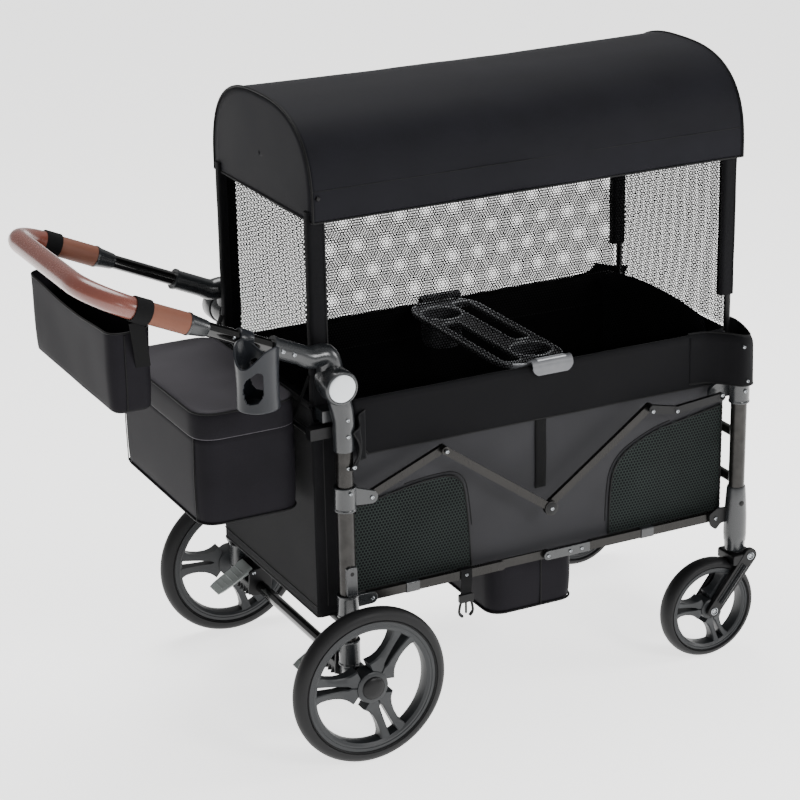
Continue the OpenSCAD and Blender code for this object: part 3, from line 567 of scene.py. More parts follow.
def caster(s, side):
    """The swivel head and a trailing arm on each side of the wheel."""
    top = Vector((front_leg.cx + 18 * MM, 0, fork.z1 - 47 * MM))
    axle = Vector((front_tyre.cx, 0, front_tyre.cz))
    inner, outer = fork.y1 - 10 * MM, fork.y1
    shape, trim, along = Shape(), Shape(), (axle - top).normalized()
    across = Vector((-along.z, 0, along.x))
    def outline(half, end):
        arc = [math.radians(a) for a in range(-90, 91, 15)]
        tip = [axle + end * (along * math.cos(a) + across * math.sin(a)) * half / end for a in arc]
        head = [top - (along * math.cos(a) + across * math.sin(a)) * half * 1.12 for a in arc]
        return [(p.x, p.z) for p in tip + head]
    for y0, y1 in ((inner, outer), (2 * LEG_Y - outer, 2 * LEG_Y - inner)):
        shape.plate(outline(13 * MM, 13 * MM), y0, y1)
    slot_half = 6 * MM
    for y in (outer, 2 * LEG_Y - outer):
        way = 1 if y == outer else -1
        a, b = top + along * 20 * MM, axle - along * 19 * MM
        frame_line = [a + across * slot_half, b + across * slot_half, b - across * slot_half,
                      a - across * slot_half]
        trim.tube([(p.x, y + 0.4 * MM * way, p.z) for p in frame_line], 1.1 * MM, 8, closed=True)
        trim.tube([(p.x, y + 0.2 * MM * way, p.z) for p in (a, a.lerp(b, 0.5), b)], 3.4 * MM, 8, flat=0.4)
    y_low, y_high = 2 * LEG_Y - outer + 1 * MM, outer - 1 * MM
    x = front_leg.cx
    head = rounded(at((x, fork.z1), (-19, -62), (8, -60), (30, -60), (31, -42), (-19, -41.5)), 5 * MM)
    shape.plate(head, y_low, y_high)
    shape.knob(mm((0.1, 0), (15, 0), (15, 4.5), (9, 5.5), (0.1, 5.5)), (x, LEG_Y, fork.z1 - 45 * MM), "z")
    body = "caster_" + s
    build("caster_head_" + s, shape.mirrored(side), "dark_plastic", body, ("caster_fork_" + s,), 1.6 * MM)
    build("caster_panel_" + s, trim.mirrored(side), "plastic", body)
    pins = Shape()
    for y, way in ((outer, 1), (2 * LEG_Y - outer, -1)):
        for p in (top, axle):
            pins.lathe(mm((7.5, -1), (7.5, 1), (6, 1.5), (5.5, -1)), (p.x, y, p.z), segments=28)
            bolts(pins, [(p.x, y, p.z)], 4.6 * MM, 1.6 * MM, way)
    pins.tube([(axle.x, 2 * LEG_Y - outer + 1 * MM, axle.z), (axle.x, outer - 1 * MM, axle.z)], 4 * MM, 16)
    build("caster_pins_" + s, pins.mirrored(side), "bolt", body, slot="plastic")


# ---- Rear frame ----

def hub_sockets():
    """A ring round the hub button on top of each rear leg, with a tapering sleeve down the leg."""
    x, z, y1 = hub.cx, hub.cz, hub.y1 - 2 * MM
    y0 = y1 - 34 * MM
    r = (hub.x1 - hub.x0) / 2
    ring = at((r, y1), (0.8, -12), (0.8, -0.5), (2, 0), (4.5, -0.6), (6.4, -4)) + at((r, y0), (6.6, 4),
        (5, 0)) + [(2 * MM, y0), (2 * MM, y1 - 12 * MM)]
    shape = Shape().lathe(ring, (x, 0, z), segments=72)
    lx = rear_leg.cx
    rows = ((-24, 19, 17), (-34, 21, 18), (-48, 20.5, 18.5), (-66, 19, 18.5), (-92, 18.6, 18.2),
            (-118, 18.4, 18), (-122, 17.4, 17.2))
    rings = []
    for drop, rx, ry in rows:
        lean = (x - lx) * max(0, 1 + drop / 60)
        rings.append([(lx + lean + rx * MM * math.cos(a), LEG_Y + ry * MM * math.sin(a), z + drop * MM)
                      for a in (2 * math.pi * k / 32 for k in range(32))])
    shape.loft([r[::-1] for r in rings])
    shape.block((rear_pole.x0 - 5 * MM, rear_pole.y1 - 19 * MM, RIM_Z - 22 * MM),
                (rear_pole.x1 + 5 * MM, LEG_Y - 14 * MM, RIM_Z - 1 * MM))
    build("hub_housings", shape.both(), "plastic", "rear_frame", ("hub_sockets",), 1.2 * MM)
    heads = bolts(Shape(), at((lx, LEG_Y, z), (0, 18.2, -62), (0, 18, -92))
                  + [(lx, LEG_Y + LEG_R + 0.5 * MM, z - 150 * MM)], 3.6 * MM)
    build("leg_bolt_heads", heads.both(), "bolt", "rear_frame", ("leg_bolts",))
    for s, side in sides():
        disc = [(0.1 * MM, 0)] + at((r, 0), (-5, 0), (-2, -0.6), (0, -2), (0, -8)) + [(0.1 * MM, -8 * MM)]
        shape = Shape().knob([(a, b + hub.y1 - 0.3 * MM) for a, b in disc], (x, 0, z), segments=64)
        build("hub_disc_" + s, shape.mirrored(side), "button", "hub_button_" + s, ("hub_button_" + s,))


def clamp(shape, x, z0, z1):
    """A moulded clamp round a leg, with a lip at each end and a split line."""
    r = LEG_R
    profile = at((r, z0), (0.2, 0), (4.6, 0), (5, 3), (3.8, 5)) + at((r, z1), (4, -5), (5, -3), (4.6, 0),
        (0.2, 0))
    return shape.lathe(profile, (x, LEG_Y, 0), "z", 40)


def ear(shape, a, b, width_a, width_b, y0, y1):
    """A flat ear from a to b, given as (x, z), round at b."""
    a, b = Vector(a), Vector(b)
    along = (b - a).normalized()
    across = Vector((-along.y, along.x))
    tip = [b + width_b * (along * math.cos(t) - across * math.sin(t))
           for t in (math.radians(d) for d in range(-90, 91, 15))]
    outline = [a + across * width_a] + tip + [a - across * width_a]
    return shape.plate([tuple(p) for p in outline][::-1], y0, y1)


def rear_brackets():
    link, x = Span("link_rear_l"), rear_leg.cx
    pivot = (link.x0 + 7.5 * MM, link.z0 + 7.5 * MM)
    y = link.y0 + 10 * MM
    shape = clamp(Shape(), x, pivot[1] - 17 * MM, pivot[1] + 28 * MM)
    ear(shape, (x + 10 * MM, pivot[1] + 8 * MM), pivot, 17 * MM, 12 * MM, y, y + 6 * MM)
    rail_z = rail.cz
    clamp(shape, x, rail_z - 22 * MM, rail_z + 20 * MM)
    ear(shape, (x + 8 * MM, rail_z), (rail.x0 + 8.5 * MM, rail_z), 12 * MM, 11 * MM, rail.y1 + 1 * MM,
        rail.y1 + 7 * MM)
    plate = rounded(rect(x - 10 * MM, rail_z + 22 * MM, x + 10 * MM, rail_z + 76 * MM), 5 * MM)
    shape.plate(plate, LEG_Y + LEG_R - 3 * MM, LEG_Y + LEG_R + 5 * MM)
    clamp(shape, x, rear_tyre.cz + 14 * MM, rear_tyre.cz + 62 * MM)
    shape.lathe(mm((11.2, -17), (18, -17), (19.5, -14), (19.5, 14), (18, 17), (11.2, 17)),
                (rear_tyre.cx, LEG_Y, rear_tyre.cz), segments=40)
    build("rear_clamps", shape.both(), "plastic", "rear_frame", ("rear_brackets",), 1.2 * MM)
    heads = bolts(Shape(), [(pivot[0], y + 6.3 * MM, pivot[1]),
                            (rail.x0 + 8.5 * MM, rail.y1 + 7.3 * MM, rail_z)], 4 * MM)
    bolts(heads, [(x + 1 * MM, LEG_Y + LEG_R + 4.6 * MM, pivot[1] + 19 * MM)], 3.2 * MM)
    build("rear_pivot_bolts", heads.both(), "bolt", "rear_frame")
    slot = Shape().knob(mm((0.1, 5.2), (3.6, 5.2), (4.4, 4.4), (4.4, 2)), (x, LEG_Y + LEG_R, rail_z + 64 * MM))
    build("lock_button", slot.both(), "dark_plastic", "rear_frame")


def brakes():
    """A housing on the axle with a ribbed pedal on each side."""
    housing, pedal = Span("brake_housings"), Span("brake_pedal_l")
    y0, y1 = pedal.y0, pedal.y1
    px, pz = pedal.x1 - 8 * MM, rear_tyre.cz + 31 * MM
    x0, x1, z0, z1 = housing.x0, housing.x1, housing.z0, housing.z1
    shape = Shape()
    cheek = rounded([(x0, z0 + 6 * MM), (x0 + 14 * MM, z0), (x1 - 8 * MM, z0), (x1, z0 + 12 * MM),
                     (x1, z1 - 14 * MM), (x1 - 14 * MM, z1), (x0 + 4 * MM, z1 - 4 * MM)], 8 * MM)
    for a, b in ((y0 - 6 * MM, y0 - 0.8 * MM), (y1 + 0.8 * MM, y1 + 6 * MM)):
        shape.plate(cheek, a, b)
    core = rounded([(x0 + 2 * MM, z0 + 2 * MM), (x1 - 2 * MM, z0 + 2 * MM)]
                   + at((x1, z1), (-2, -4), (-12, -4))
                   + [(x1 - 16 * MM, z0 + 29 * MM), (x0 + 2 * MM, z0 + 29 * MM)], 4 * MM)
    shape.plate(core, y0 - 1 * MM, y1 + 1 * MM)
    for k in range(4):
        y = y0 + (k + 0.5) * (y1 - y0) / 4
        shape.plate(at((x0, z0), (-3, 4), (6, 2), (6, 25)), y - 2 * MM, y + 2 * MM)
    build("brake_blocks", shape.both(), "dark_plastic", "rear_frame", ("brake_housings",), 1.2 * MM)
    bolt = bolts(Shape(), [(px, y1 + 6 * MM, pz)], 4 * MM)
    bolts(bolt, [(px, y0 - 6 * MM, pz)], 4 * MM, way=-1)
    build("brake_bolts", bolt.both(), "bolt", "rear_frame")
    slope = math.radians(28)
    for s, side in sides():
        rings = []
        for t, half in ((-4, 6), (4, 7.5), (14, 5), (30, 4.2), (50, 3.8), (66, 3.4), (77, 2.2)):
            run = Vector((-math.cos(slope), 0, -math.sin(slope))) * t * MM
            lift = Vector((-math.sin(slope), 0, math.cos(slope)))
            mid = Vector((px, 0, pz)) + run + lift * 3.5 * MM
            wide = (y1 - y0) / 2 * (1 - 0.16 * max(0, t - 60) / 17)
            rows = ((-wide, 0.4), (-wide * 0.86, 1), (wide * 0.86, 1), (wide, 0.4), (wide * 0.9, -1),
                    (-wide * 0.9, -1))
            rings.append([mid + lift * half * h * MM * 0.8 + Vector((0, (y0 + y1) / 2 + v, 0))
                          for v, h in rows])
        shape = Shape().loft(rings)
        for t in (16, 28, 40, 52, 64):
            mid = Vector((px, 0, pz)) + Vector((-math.cos(slope), 0, -math.sin(slope))) * t * MM
            mid += Vector((-math.sin(slope), 0, math.cos(slope))) * (3.5 + 3.6 - t * 0.014) * MM
            shape.tube([(mid.x, y0 + 6 * MM, mid.z), (mid.x, y1 - 6 * MM, mid.z)], 1.4 * MM, 8)
        build("pedal_" + s, shape.mirrored(side), "pedal", "brake_pedal_" + s, ("brake_pedal_" + s,), 0.8 * MM)


# ---- Front frame ----

def front_fittings():
    """The conical caster sockets and the collars at the tops of the front legs."""
    x = front_leg.cx
    z0, z1 = socket.z0, socket.z1
    rows = ((0.2, z0), (17.5, z0), (19, z0 + 3 * MM), (19.6, z0 + 18 * MM), (20.8, z0 + 20 * MM),
            (21.6, z0 + 34 * MM), (21.2, z0 + 70 * MM), (19.5, z0 + 100 * MM), (17.8, z1 - 4 * MM), (16.6, z1),
            (0.2, z1))
    shape = Shape().knob([(r * MM, z) for r, z in rows][::-1], (x, LEG_Y, 0), "z", 40)
    rail_f = Span("rail_front_l")
    pivot = (rail_f.x1 - 8.5 * MM, rail_f.cz)
    latch = rounded(at((pivot[0], pivot[1]), (-14, 9), (-10, -14), (2, -24), (13, -12))
                    + at((x, pivot[1]), (-8, -12), (-8, 16)) + [(pivot[0] + 4 * MM, pivot[1] + 20 * MM)],
                    5 * MM)
    hook = Shape().plate(latch, rail_f.y1 + 1 * MM, rail_f.y1 + 7 * MM)
    build("caster_sockets", shape.both(), "plastic", "front_frame", ("front_sockets",))
    build("rail_latches", hook.both(), "dark_plastic", "front_frame", bevel=1.5 * MM)
    link = Span("link_front_l")
    top_pivot = (link.x1 - 7.5 * MM, link.z1 - 7.5 * MM)
    zc = collar.z1 - 29 * MM
    shape = clamp(Shape(), x, top_pivot[1] - 24 * MM, zc)
    shape.plate(rounded([(top_pivot[0] - 14 * MM, top_pivot[1] - 12 * MM)]
                        + at((x, top_pivot[1]), (14, -15), (14, 22))
                        + at((top_pivot[0], top_pivot[1]), (-4, 14), (-14, 6)), 8 * MM), link.y0 - 9.5 * MM,
                link.y0 - 0.6 * MM)
    shape.block((front_pole.x0 - 6 * MM, front_pole.y1 - 20 * MM, zc - 2 * MM),
                (front_pole.x1 + 2 * MM, LEG_Y + 12 * MM, collar.z1))
    build("top_collars", shape.both(), "plastic", "front_frame", ("front_collars",), 1.2 * MM)
    heads = bolts(Shape(), [(top_pivot[0], link.y1 + 0.4 * MM, top_pivot[1]),
                            (x, LEG_Y + LEG_R + 4.4 * MM, top_pivot[1] + 2 * MM),
                            (pivot[0], rail_f.y1 + 7.2 * MM, pivot[1])], 4 * MM)
    build("front_bolts", heads.both(), "bolt", "front_frame")
    hole = Shape().knob(mm((0.1, 1.2), (4.2, 1.2), (5, 0.6), (5, -4)), (x, LEG_Y + 19.6 * MM, z1 - 30 * MM))
    build("socket_buttons", hole.both(), "dark_plastic", "front_frame")


def linkage_trim():
    """Bolt heads on the side links, and the clips and hinge plates of the lower rails."""
    for s, side in sides():
        long_rear = Span("link_long_rear_l")
        apex = (long_rear.x0 + 7.5 * MM, long_rear.z1 - 7.5 * MM)
        heads = bolts(Shape(), [(apex[0], long_rear.y1 + 1.2 * MM, apex[1])])
        build("apex_bolt_" + s, heads.mirrored(side), "bolt", "link_rear_" + s)
        low = (long_rear.x1 - 13 * MM, long_rear.z0 + 13 * MM)
        disc = Shape().lathe(mm((4, 0), (4, 2.6), (11, 2.6), (13.4, 1.2), (13.4, -6), (4, -6)),
                             (low[0], long_rear.y1 - 2 * MM, low[1]), segments=40)
        build("low_disc_" + s, disc.mirrored(side), "dark_plastic", "link_long_rear_" + s)
        heads = bolts(Shape(), [(low[0], long_rear.y1 + 0.4 * MM, low[1])])
        build("low_bolt_" + s, heads.mirrored(side), "bolt", "link_long_rear_" + s)
        link = Span("link_front_l")
        apex = (link.x0 + 7.5 * MM, link.z0 + 15.5 * MM)
        heads = bolts(Shape(), at((apex[0], link.y1, apex[1]), (0, 0.4, 0), (52, 0.4, -9)))
        build("front_link_bolts_" + s, heads.mirrored(side), "bolt", "link_front_" + s)
        rear, front = Span("rail_rear_l"), Span("rail_front_l")
        zc, h = rear.cz, (rear.z1 - rear.z0) / 2
        def clip(x, width, extra):
            return Shape().plate(rounded(rect(rear.y0 - extra, zc - h - extra, rear.y1 + extra, zc + h + extra),
                                         3 * MM), x - width / 2, x + width / 2, "x")
        build("rail_clip_" + s, clip(rear.x0 + 92 * MM, 26 * MM, 1.3 * MM).mirrored(side), "plastic",
              "rail_rear_" + s)
        joint = clip(rear.x0 + 198 * MM, 22 * MM, 1.2 * MM)
        build("rail_joint_" + s, joint.mirrored(side), "dark_plastic", "rail_rear_" + s)
        heads = bolts(Shape(), [(rear.x0 + 198 * MM, rear.y1 + 1.4 * MM, zc)], 3.4 * MM)
        build("rail_bolt_" + s, heads.mirrored(side), "bolt", "rail_rear_" + s)
        build("front_rail_clip_" + s, clip(front.x1 - 154 * MM, 26 * MM, 1.3 * MM).mirrored(side), "plastic",
              "rail_front_" + s)
        mid = (rear.x1 + front.x0) / 2
        plate = ear(Shape(), (mid + 88 * MM, zc), (mid - 8 * MM + 8.5 * MM, zc), h + 0.6 * MM, h + 0.2 * MM,
                    front.y1 - 0.4 * MM, front.y1 + 2 * MM)
        build("rail_plate_" + s, plate.mirrored(side), "plastic", "rail_front_" + s, bevel=0.8 * MM)
        heads = bolts(Shape(), [(mid + t * MM, front.y1 + 2.1 * MM, zc) for t in (0, 46, 70)], 3.4 * MM)
        build("rail_plate_bolts_" + s, heads.mirrored(side), "bolt", "rail_front_" + s)


# ---- Handle ----

def on_arm(distance, y=None, lift=0.0):
    """A point along the left arm, measured from the foot of its tube."""
    p = ARM_FOOT + ARM * distance + Vector((math.sin(ARM_ANGLE), 0, math.cos(ARM_ANGLE))) * lift
    return Vector((p.x, ARM_Y if y is None else y, p.z))


def elbows():
    """A cast elbow that rises behind the hub and bends back to the arm."""
    x, z = hub.cx, hub.cz
    path = smooth_path([(x + 1 * MM, ARM_Y, z - 4 * MM), (x + 2 * MM, ARM_Y, z + 22 * MM),
                        (x - 6 * MM, ARM_Y, z + 44 * MM), on_arm(-44 * MM), on_arm(-20 * MM), on_arm(6 * MM),
                        on_arm(33 * MM)], 5)
    n = len(path)
    radii = [(24 - 6.2 * min(1, i / (n * 0.62))) * MM for i in range(n)]
    shape = Shape().tube(path, radii, 28)
    shape.tube([on_arm(29.5 * MM), on_arm(34.5 * MM)], 19.2 * MM, 28)
    y0 = hub.y1 - 37 * MM
    shape.knob(at((0, y0), (0.1, 0), (27, 0), (27, -16), (22, -30), (0.1, -33)), (x, 0, z))
    build("elbow_castings", shape.both(), "plastic", "handle", ("handle_elbows",), 0.9 * MM)
    heads = bolts(Shape(), [tuple(on_arm(t * MM) + Vector((0, 17.4 * MM, 0))) for t in (-4, 18)], 4 * MM)
    build("elbow_bolts", heads.both(), "bolt", "handle")


def grip_path():
    """The U of the handle's grip, from the left sleeve's end round to the right one."""
    bend, length = GRIP_BEND, GRIP_REACH
    points = [on_arm(length - bend)]
    for k in range(1, 16):
        a = math.radians(90 * k / 16)
        points.append(on_arm(length - bend + bend * math.sin(a), ARM_Y - bend + bend * math.cos(a)))
    points.append(on_arm(length, ARM_Y - bend))
    return points


def handle_grip():
    """A glossy front bar, a matt sleeve on each arm, and a tapering collar at the end of each sleeve."""
    corner = grip_path()
    strap_at, sleeve_end = 266 * MM, 192 * MM
    left = [on_arm(strap_at)] + corner
    right = [Vector((p.x, -p.y, p.z)) for p in left[::-1]]
    middle = [on_arm(GRIP_REACH, (ARM_Y - GRIP_BEND) * t) for t in (0.6, 0.2, -0.2, -0.6)]
    bar = Shape().tube(left + middle + right, GRIP_R, 28)
    build("grip_bar", bar, "grip", "handle", ("handle_grip",))
    sleeve = Shape().tube([on_arm(t)
                           for t in (sleeve_end + 2 * MM, sleeve_end + 3 * MM, strap_at - 1 * MM, strap_at)],
                          [17.6 * MM, 18.4 * MM, 18.4 * MM, 18.2 * MM], 28)
    build("grip_sleeves", sleeve.both(), "sleeve", "handle")
    seam = Shape().tube([on_arm(t, ARM_Y, -18.4 * MM) for t in (sleeve_end + 3 * MM, strap_at)], 0.8 * MM, 6)
    build("grip_seams", seam.both(), "piping", "handle")
    ring = Shape().tube([on_arm(t * MM) for t in (158, 162, 178, 190, 191, 194.5)],
                        [13.6 * MM, 14.6 * MM, 16.4 * MM, 18.0 * MM, 19.4 * MM, 19.4 * MM], 28)
    build("grip_collars", ring.both(), "plastic", "handle")
    heads = bolts(Shape(), [tuple(on_arm(110 * MM) + Vector((0, ARM_R, 0)))], 3 * MM)
    build("arm_bolts", heads.both(), "bolt", "handle")


def cup_holder():
    """An open two-horned holder with an oval window, clipped to the right arm."""
    r = (holder.x1 - holder.x0) / 2
    cx, cy = holder.cx, holder.y0 + r
    z0, z1 = holder.z0, holder.z0 + 108 * MM
    shape = Shape()
    cols, rows = 96, 44
    verts, faces, index = [], [], {}
    def top(a):
        horns = 0.5 + 0.5 * math.cos(2 * (a + 1.1))
        return z1 - 34 * MM * (1 - horns) ** 1.3
    for j in range(rows + 1):
        for i in range(cols):
            a = 2 * math.pi * i / cols
            t = j / rows
            flare = 1 - 0.05 * math.sin(math.pi * t) + 0.03 * t
            z = z0 + (top(a) - z0) * t
            index[i, j] = len(verts)
            verts.append((cx + (r - 1.6 * MM) * flare * math.cos(a), cy + (r - 1.6 * MM) * flare * math.sin(a),
                          z))
    def open_at(i, j):
        a, t = 2 * math.pi * (i + 0.5) / cols, (j + 0.5) / rows
        for centre, half in ((-2.2, 0.52), (1.0, 0.52)):
            da = (a - centre + math.pi) % (2 * math.pi) - math.pi
            if (abs(da) / half) ** 2.6 + (abs(t - 0.5) / 0.3) ** 2.6 < 1:
                return True
        return False
    for j in range(rows):
        for i in range(cols):
            if not open_at(i, j):
                faces.append([index[i, j], index[(i + 1) % cols, j], index[(i + 1) % cols, j + 1],
                              index[i, j + 1]])
    base = len(verts)
    verts.append((cx, cy, z0 + 1.5 * MM))
    faces += [[base, index[(i + 1) % cols, 0], index[i, 0]] for i in range(cols)]
    shape.add(verts, faces)
    build("cup_holder_shell", shape, "holder", "handle", ("cup_holder",), thick=2.6 * MM, subdivide=1, sharp=60)
    lip = [(cx + (r - 1 * MM) * math.cos(a), cy + (r - 1 * MM) * math.sin(a), top(a))
           for a in (2 * math.pi * i / cols for i in range(cols))]
    build("cup_holder_lip", Shape().tube(lip, 2 * MM, 8, closed=True), "holder", "handle")
    clip = Shape()
    arm_at = (ARM_FOOT.x - cx) / math.cos(ARM_ANGLE)
    ring = at((ARM_R, 0), (0.1, -13), (3, -13), (4, -11), (4, 11), (3, 13), (0.1, 13))
    clip.lathe(ring, (0, 0, 0), "x", 40)
    turn = Matrix.Rotation(ARM_ANGLE, 4, "Y")
    seat = on_arm(arm_at, -ARM_Y)
    clip.verts = [turn @ v + seat for v in clip.verts]
    clip.block((cx - 12 * MM, cy + r - 3 * MM, seat.z - 20 * MM),
               (cx + 12 * MM, -ARM_Y - ARM_R + 2 * MM, seat.z + 4 * MM))
    build("cup_holder_clip", clip, "holder", "handle", bevel=1 * MM)


# ---- Soft goods ----

TUB_LENGTH = side.x1 - side.x0


def folds(piece):
    """Gives a piece that spans the tub its own copy of its mesh."""
    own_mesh(piece)
    return piece


def ripple(a, b, size, seed=0.0):
    """A soft unevenness from -1 to 1, for cloth that is not quite flat."""
    return noise.noise(Vector((a / size, b / size, seed)))


def net(inside, place, box, pitch, hole):
    """Netting with six-sided holes, over the cells of a box whose centres pass the inside test."""
    a0, b0, a1, b1 = box
    corners = [(math.cos(math.radians(30 + 60 * k)), math.sin(math.radians(30 + 60 * k))) for k in range(6)]
    outer, row_step = pitch / math.sqrt(3), pitch * math.sqrt(3) / 2
    verts, faces, known = [], [], {}

    def vertex(a, b):
        key = (round(a * 20000), round(b * 20000))
        if key not in known:
            known[key] = len(verts)
            verts.append(place(a, b))
        return known[key]

    for row in range(int((b1 - b0) / row_step) + 1):
        b = b0 + row * row_step
        for col in range(int((a1 - a0) / pitch) + 1):
            a = a0 + (col + 0.5 * (row % 2)) * pitch
            if a > a1 or not inside(a, b):
                continue
            rim_ids = [vertex(a + outer * x, b + outer * y) for x, y in corners]
            hole_ids = [vertex(a + outer * hole * x, b + outer * hole * y) for x, y in corners]
            faces += [[rim_ids[k], rim_ids[(k + 1) % 6], hole_ids[(k + 1) % 6], hole_ids[k]] for k in range(6)]
    return Shape().add(verts, faces)


def area_of(shape):
    total = 0.0
    for f in shape.faces:
        p = [shape.verts[i] for i in f]
        total += sum((p[k] - p[0]).cross(p[k + 1] - p[0]).length / 2 for k in range(1, len(p) - 1))
    return total


def crosses(outline, a, b):
    """True if the point lies inside a closed outline."""
    odd = False
    for (x0, z0), (x1, z1) in zip(outline, outline[1:] + outline[:1]):
        if (z0 > b) != (z1 > b) and a < (x1 - x0) * (b - z0) / (z1 - z0) + x0:
            odd = not odd
    return odd


def panel_y(x, z):
    """Where a side panel's cloth lies: taut along its edges, slack and creased between them."""
    u, v = (x - side.x0) / TUB_LENGTH, (z - side.z0) / (side.z1 - side.z0)
    slack = max(0.0, math.sin(math.pi * min(1, max(0, u)))) ** 0.5 * max(0.0,
        math.sin(math.pi * min(1, max(0, v)))) ** 0.5
    pull = math.sin(34 * (u - 0.55 * v)) * 0.8 + ripple(x, z, 0.12) * 1.6 + ripple(x, z, 0.05, 3) * 0.5
    return side.y1 - 1.4 * MM + slack * pull * 0.9 * MM


def side_panels():
    """Charcoal side walls with a black lining, a webbing strap, and two netting pockets on each side."""
    z0, z1 = side.z0 - 4 * MM, RIM_Z - 4 * MM
    for s, hand in sides():
        def outer(u, v):
            x, z = side.x0 + u * TUB_LENGTH, z0 + v * (z1 - z0)
            return (x, panel_y(x, z), z)
        wall = build("side_wall_" + s, Shape().grid(outer, 110, 50).mirrored(hand), "panel", "rear_frame",
                     ("side_panels",), thick=1.6 * MM)
        folds(wall)
        def inner(u, v):
            x, z = back_wall.x0 + 6 * MM + u * (front_wall.x0 - back_wall.x0 - 8 * MM), z0 + v * (z1 - z0)
            return (x, side.y1 - 6 * MM + ripple(x, z, 0.15, 7) * 1.5 * MM, z)
        lining = build("side_lining_" + s, Shape().grid(inner, 80, 30).mirrored(hand), "inner_net",
                       "rear_frame", thick=1.2 * MM)
        folds(lining)
        mid = (side.x0 + side.x1) / 2 - 2 * MM
        def strap(u, v):
            x, z = mid + (u - 0.5) * 22 * MM, side.z0 + 128 * MM + v * 142 * MM
            return (x, panel_y(x, z) + 2.2 * MM + 0.6 * MM * math.sin(math.pi * v), z)
        tape = build("side_strap_" + s, Shape().grid(strap, 4, 20).mirrored(hand), "webbing", "rear_frame",
                     thick=1.4 * MM)
        folds(tape)
        x0, x1, z = side.x0, side.x1, side.z0
        rear = rounded(at((x0, z), (3, 5), (243, 5), (236, 120), (224, 188), (150, 190), (3, 164)),
                       [4 * MM, 4 * MM, 60 * MM, 50 * MM, 70 * MM, 4 * MM], 8)
        front = rounded(at((x1, z), (-246, 5), (-4, 5), (-4, 216), (-160, 190), (-236, 150), (-246, 70)),
                        [4 * MM, 4 * MM, 4 * MM, 80 * MM, 60 * MM, 70 * MM], 8)
        for name, outline in (("rear_pocket_", rear), ("front_pocket_", front)):
            pocket(name + s, outline, hand)
        hem = [(side.x0 + u * TUB_LENGTH, panel_y(side.x0 + u * TUB_LENGTH, z0 + 3 * MM) + 1.6 * MM,
                z0 + 3 * MM) for u in (k / 24 for k in range(25))]
        folds(build("side_hem_" + s, Shape().tube(hem, 2.2 * MM, 8).mirrored(hand), "piping", "rear_frame"))


def pocket(name, outline, hand):
    """A netting pocket: dark backing, bulging net, piped edge and a stitched hem."""
    xs, zs = [p[0] for p in outline], [p[1] for p in outline]
    box = (min(xs), min(zs), max(xs), max(zs))
    def bulge(a, b):
        u, v = (a - box[0]) / (box[2] - box[0]), (b - box[1]) / (box[3] - box[1])
        hump = max(0, math.sin(math.pi * min(1, max(0, u)))) * max(0,
            math.sin(math.pi * min(1, max(0, v)))) ** 0.7
        return panel_y(a, b) + 3.2 * MM + hump * 3.4 * MM + ripple(a, b, 0.06, 11) * 0.8 * MM
    shape = net(lambda a, b: crosses(outline, a, b), lambda a, b: (a, bulge(a, b), b), box, 6.2 * MM, 0.7)
    cloth = area_of(shape)
    mesh = build(name + "_net", shape.mirrored(hand), "pocket_net", "rear_frame")
    folds(mesh)
    centre = (sum(xs) / len(xs), sum(zs) / len(zs))
    n = len(outline)
    verts, faces, rings = [], [], 8
    for k in range(rings + 1):
        for a, b in outline:
            x, z = centre[0] + (a - centre[0]) * k / rings, centre[1] + (b - centre[1]) * k / rings
            verts.append((x, panel_y(x, z) + 2.0 * MM, z))
    for k in range(rings):
        faces += [[k * n + i, k * n + (i + 1) % n, (k + 1) * n + (i + 1) % n, (k + 1) * n + i]
                  for i in range(n)]
    back = build(name + "_back", Shape().add(verts, faces).mirrored(hand), "fabric", "rear_frame")
    folds(back)
    edge = Shape().tube([(a, panel_y(a, b) + 2.8 * MM, b) for a, b in outline], 1.9 * MM, 8, closed=True)
    wide = [(centre[0] + (a - centre[0]) * 1.075, centre[1] + (b - centre[1]) * 1.075) for a, b in outline]
    seam = [(a, b) for a, b in wide if side.x0 + 2 * MM < a < side.x1 - 2 * MM and b > box[1]]
    edge.tube([(a, panel_y(a, b) + 1.0 * MM, b) for a, b in seam], 1.0 * MM, 6)
    folds(build(name + "_piping", edge.mirrored(hand), "piping", "rear_frame"))


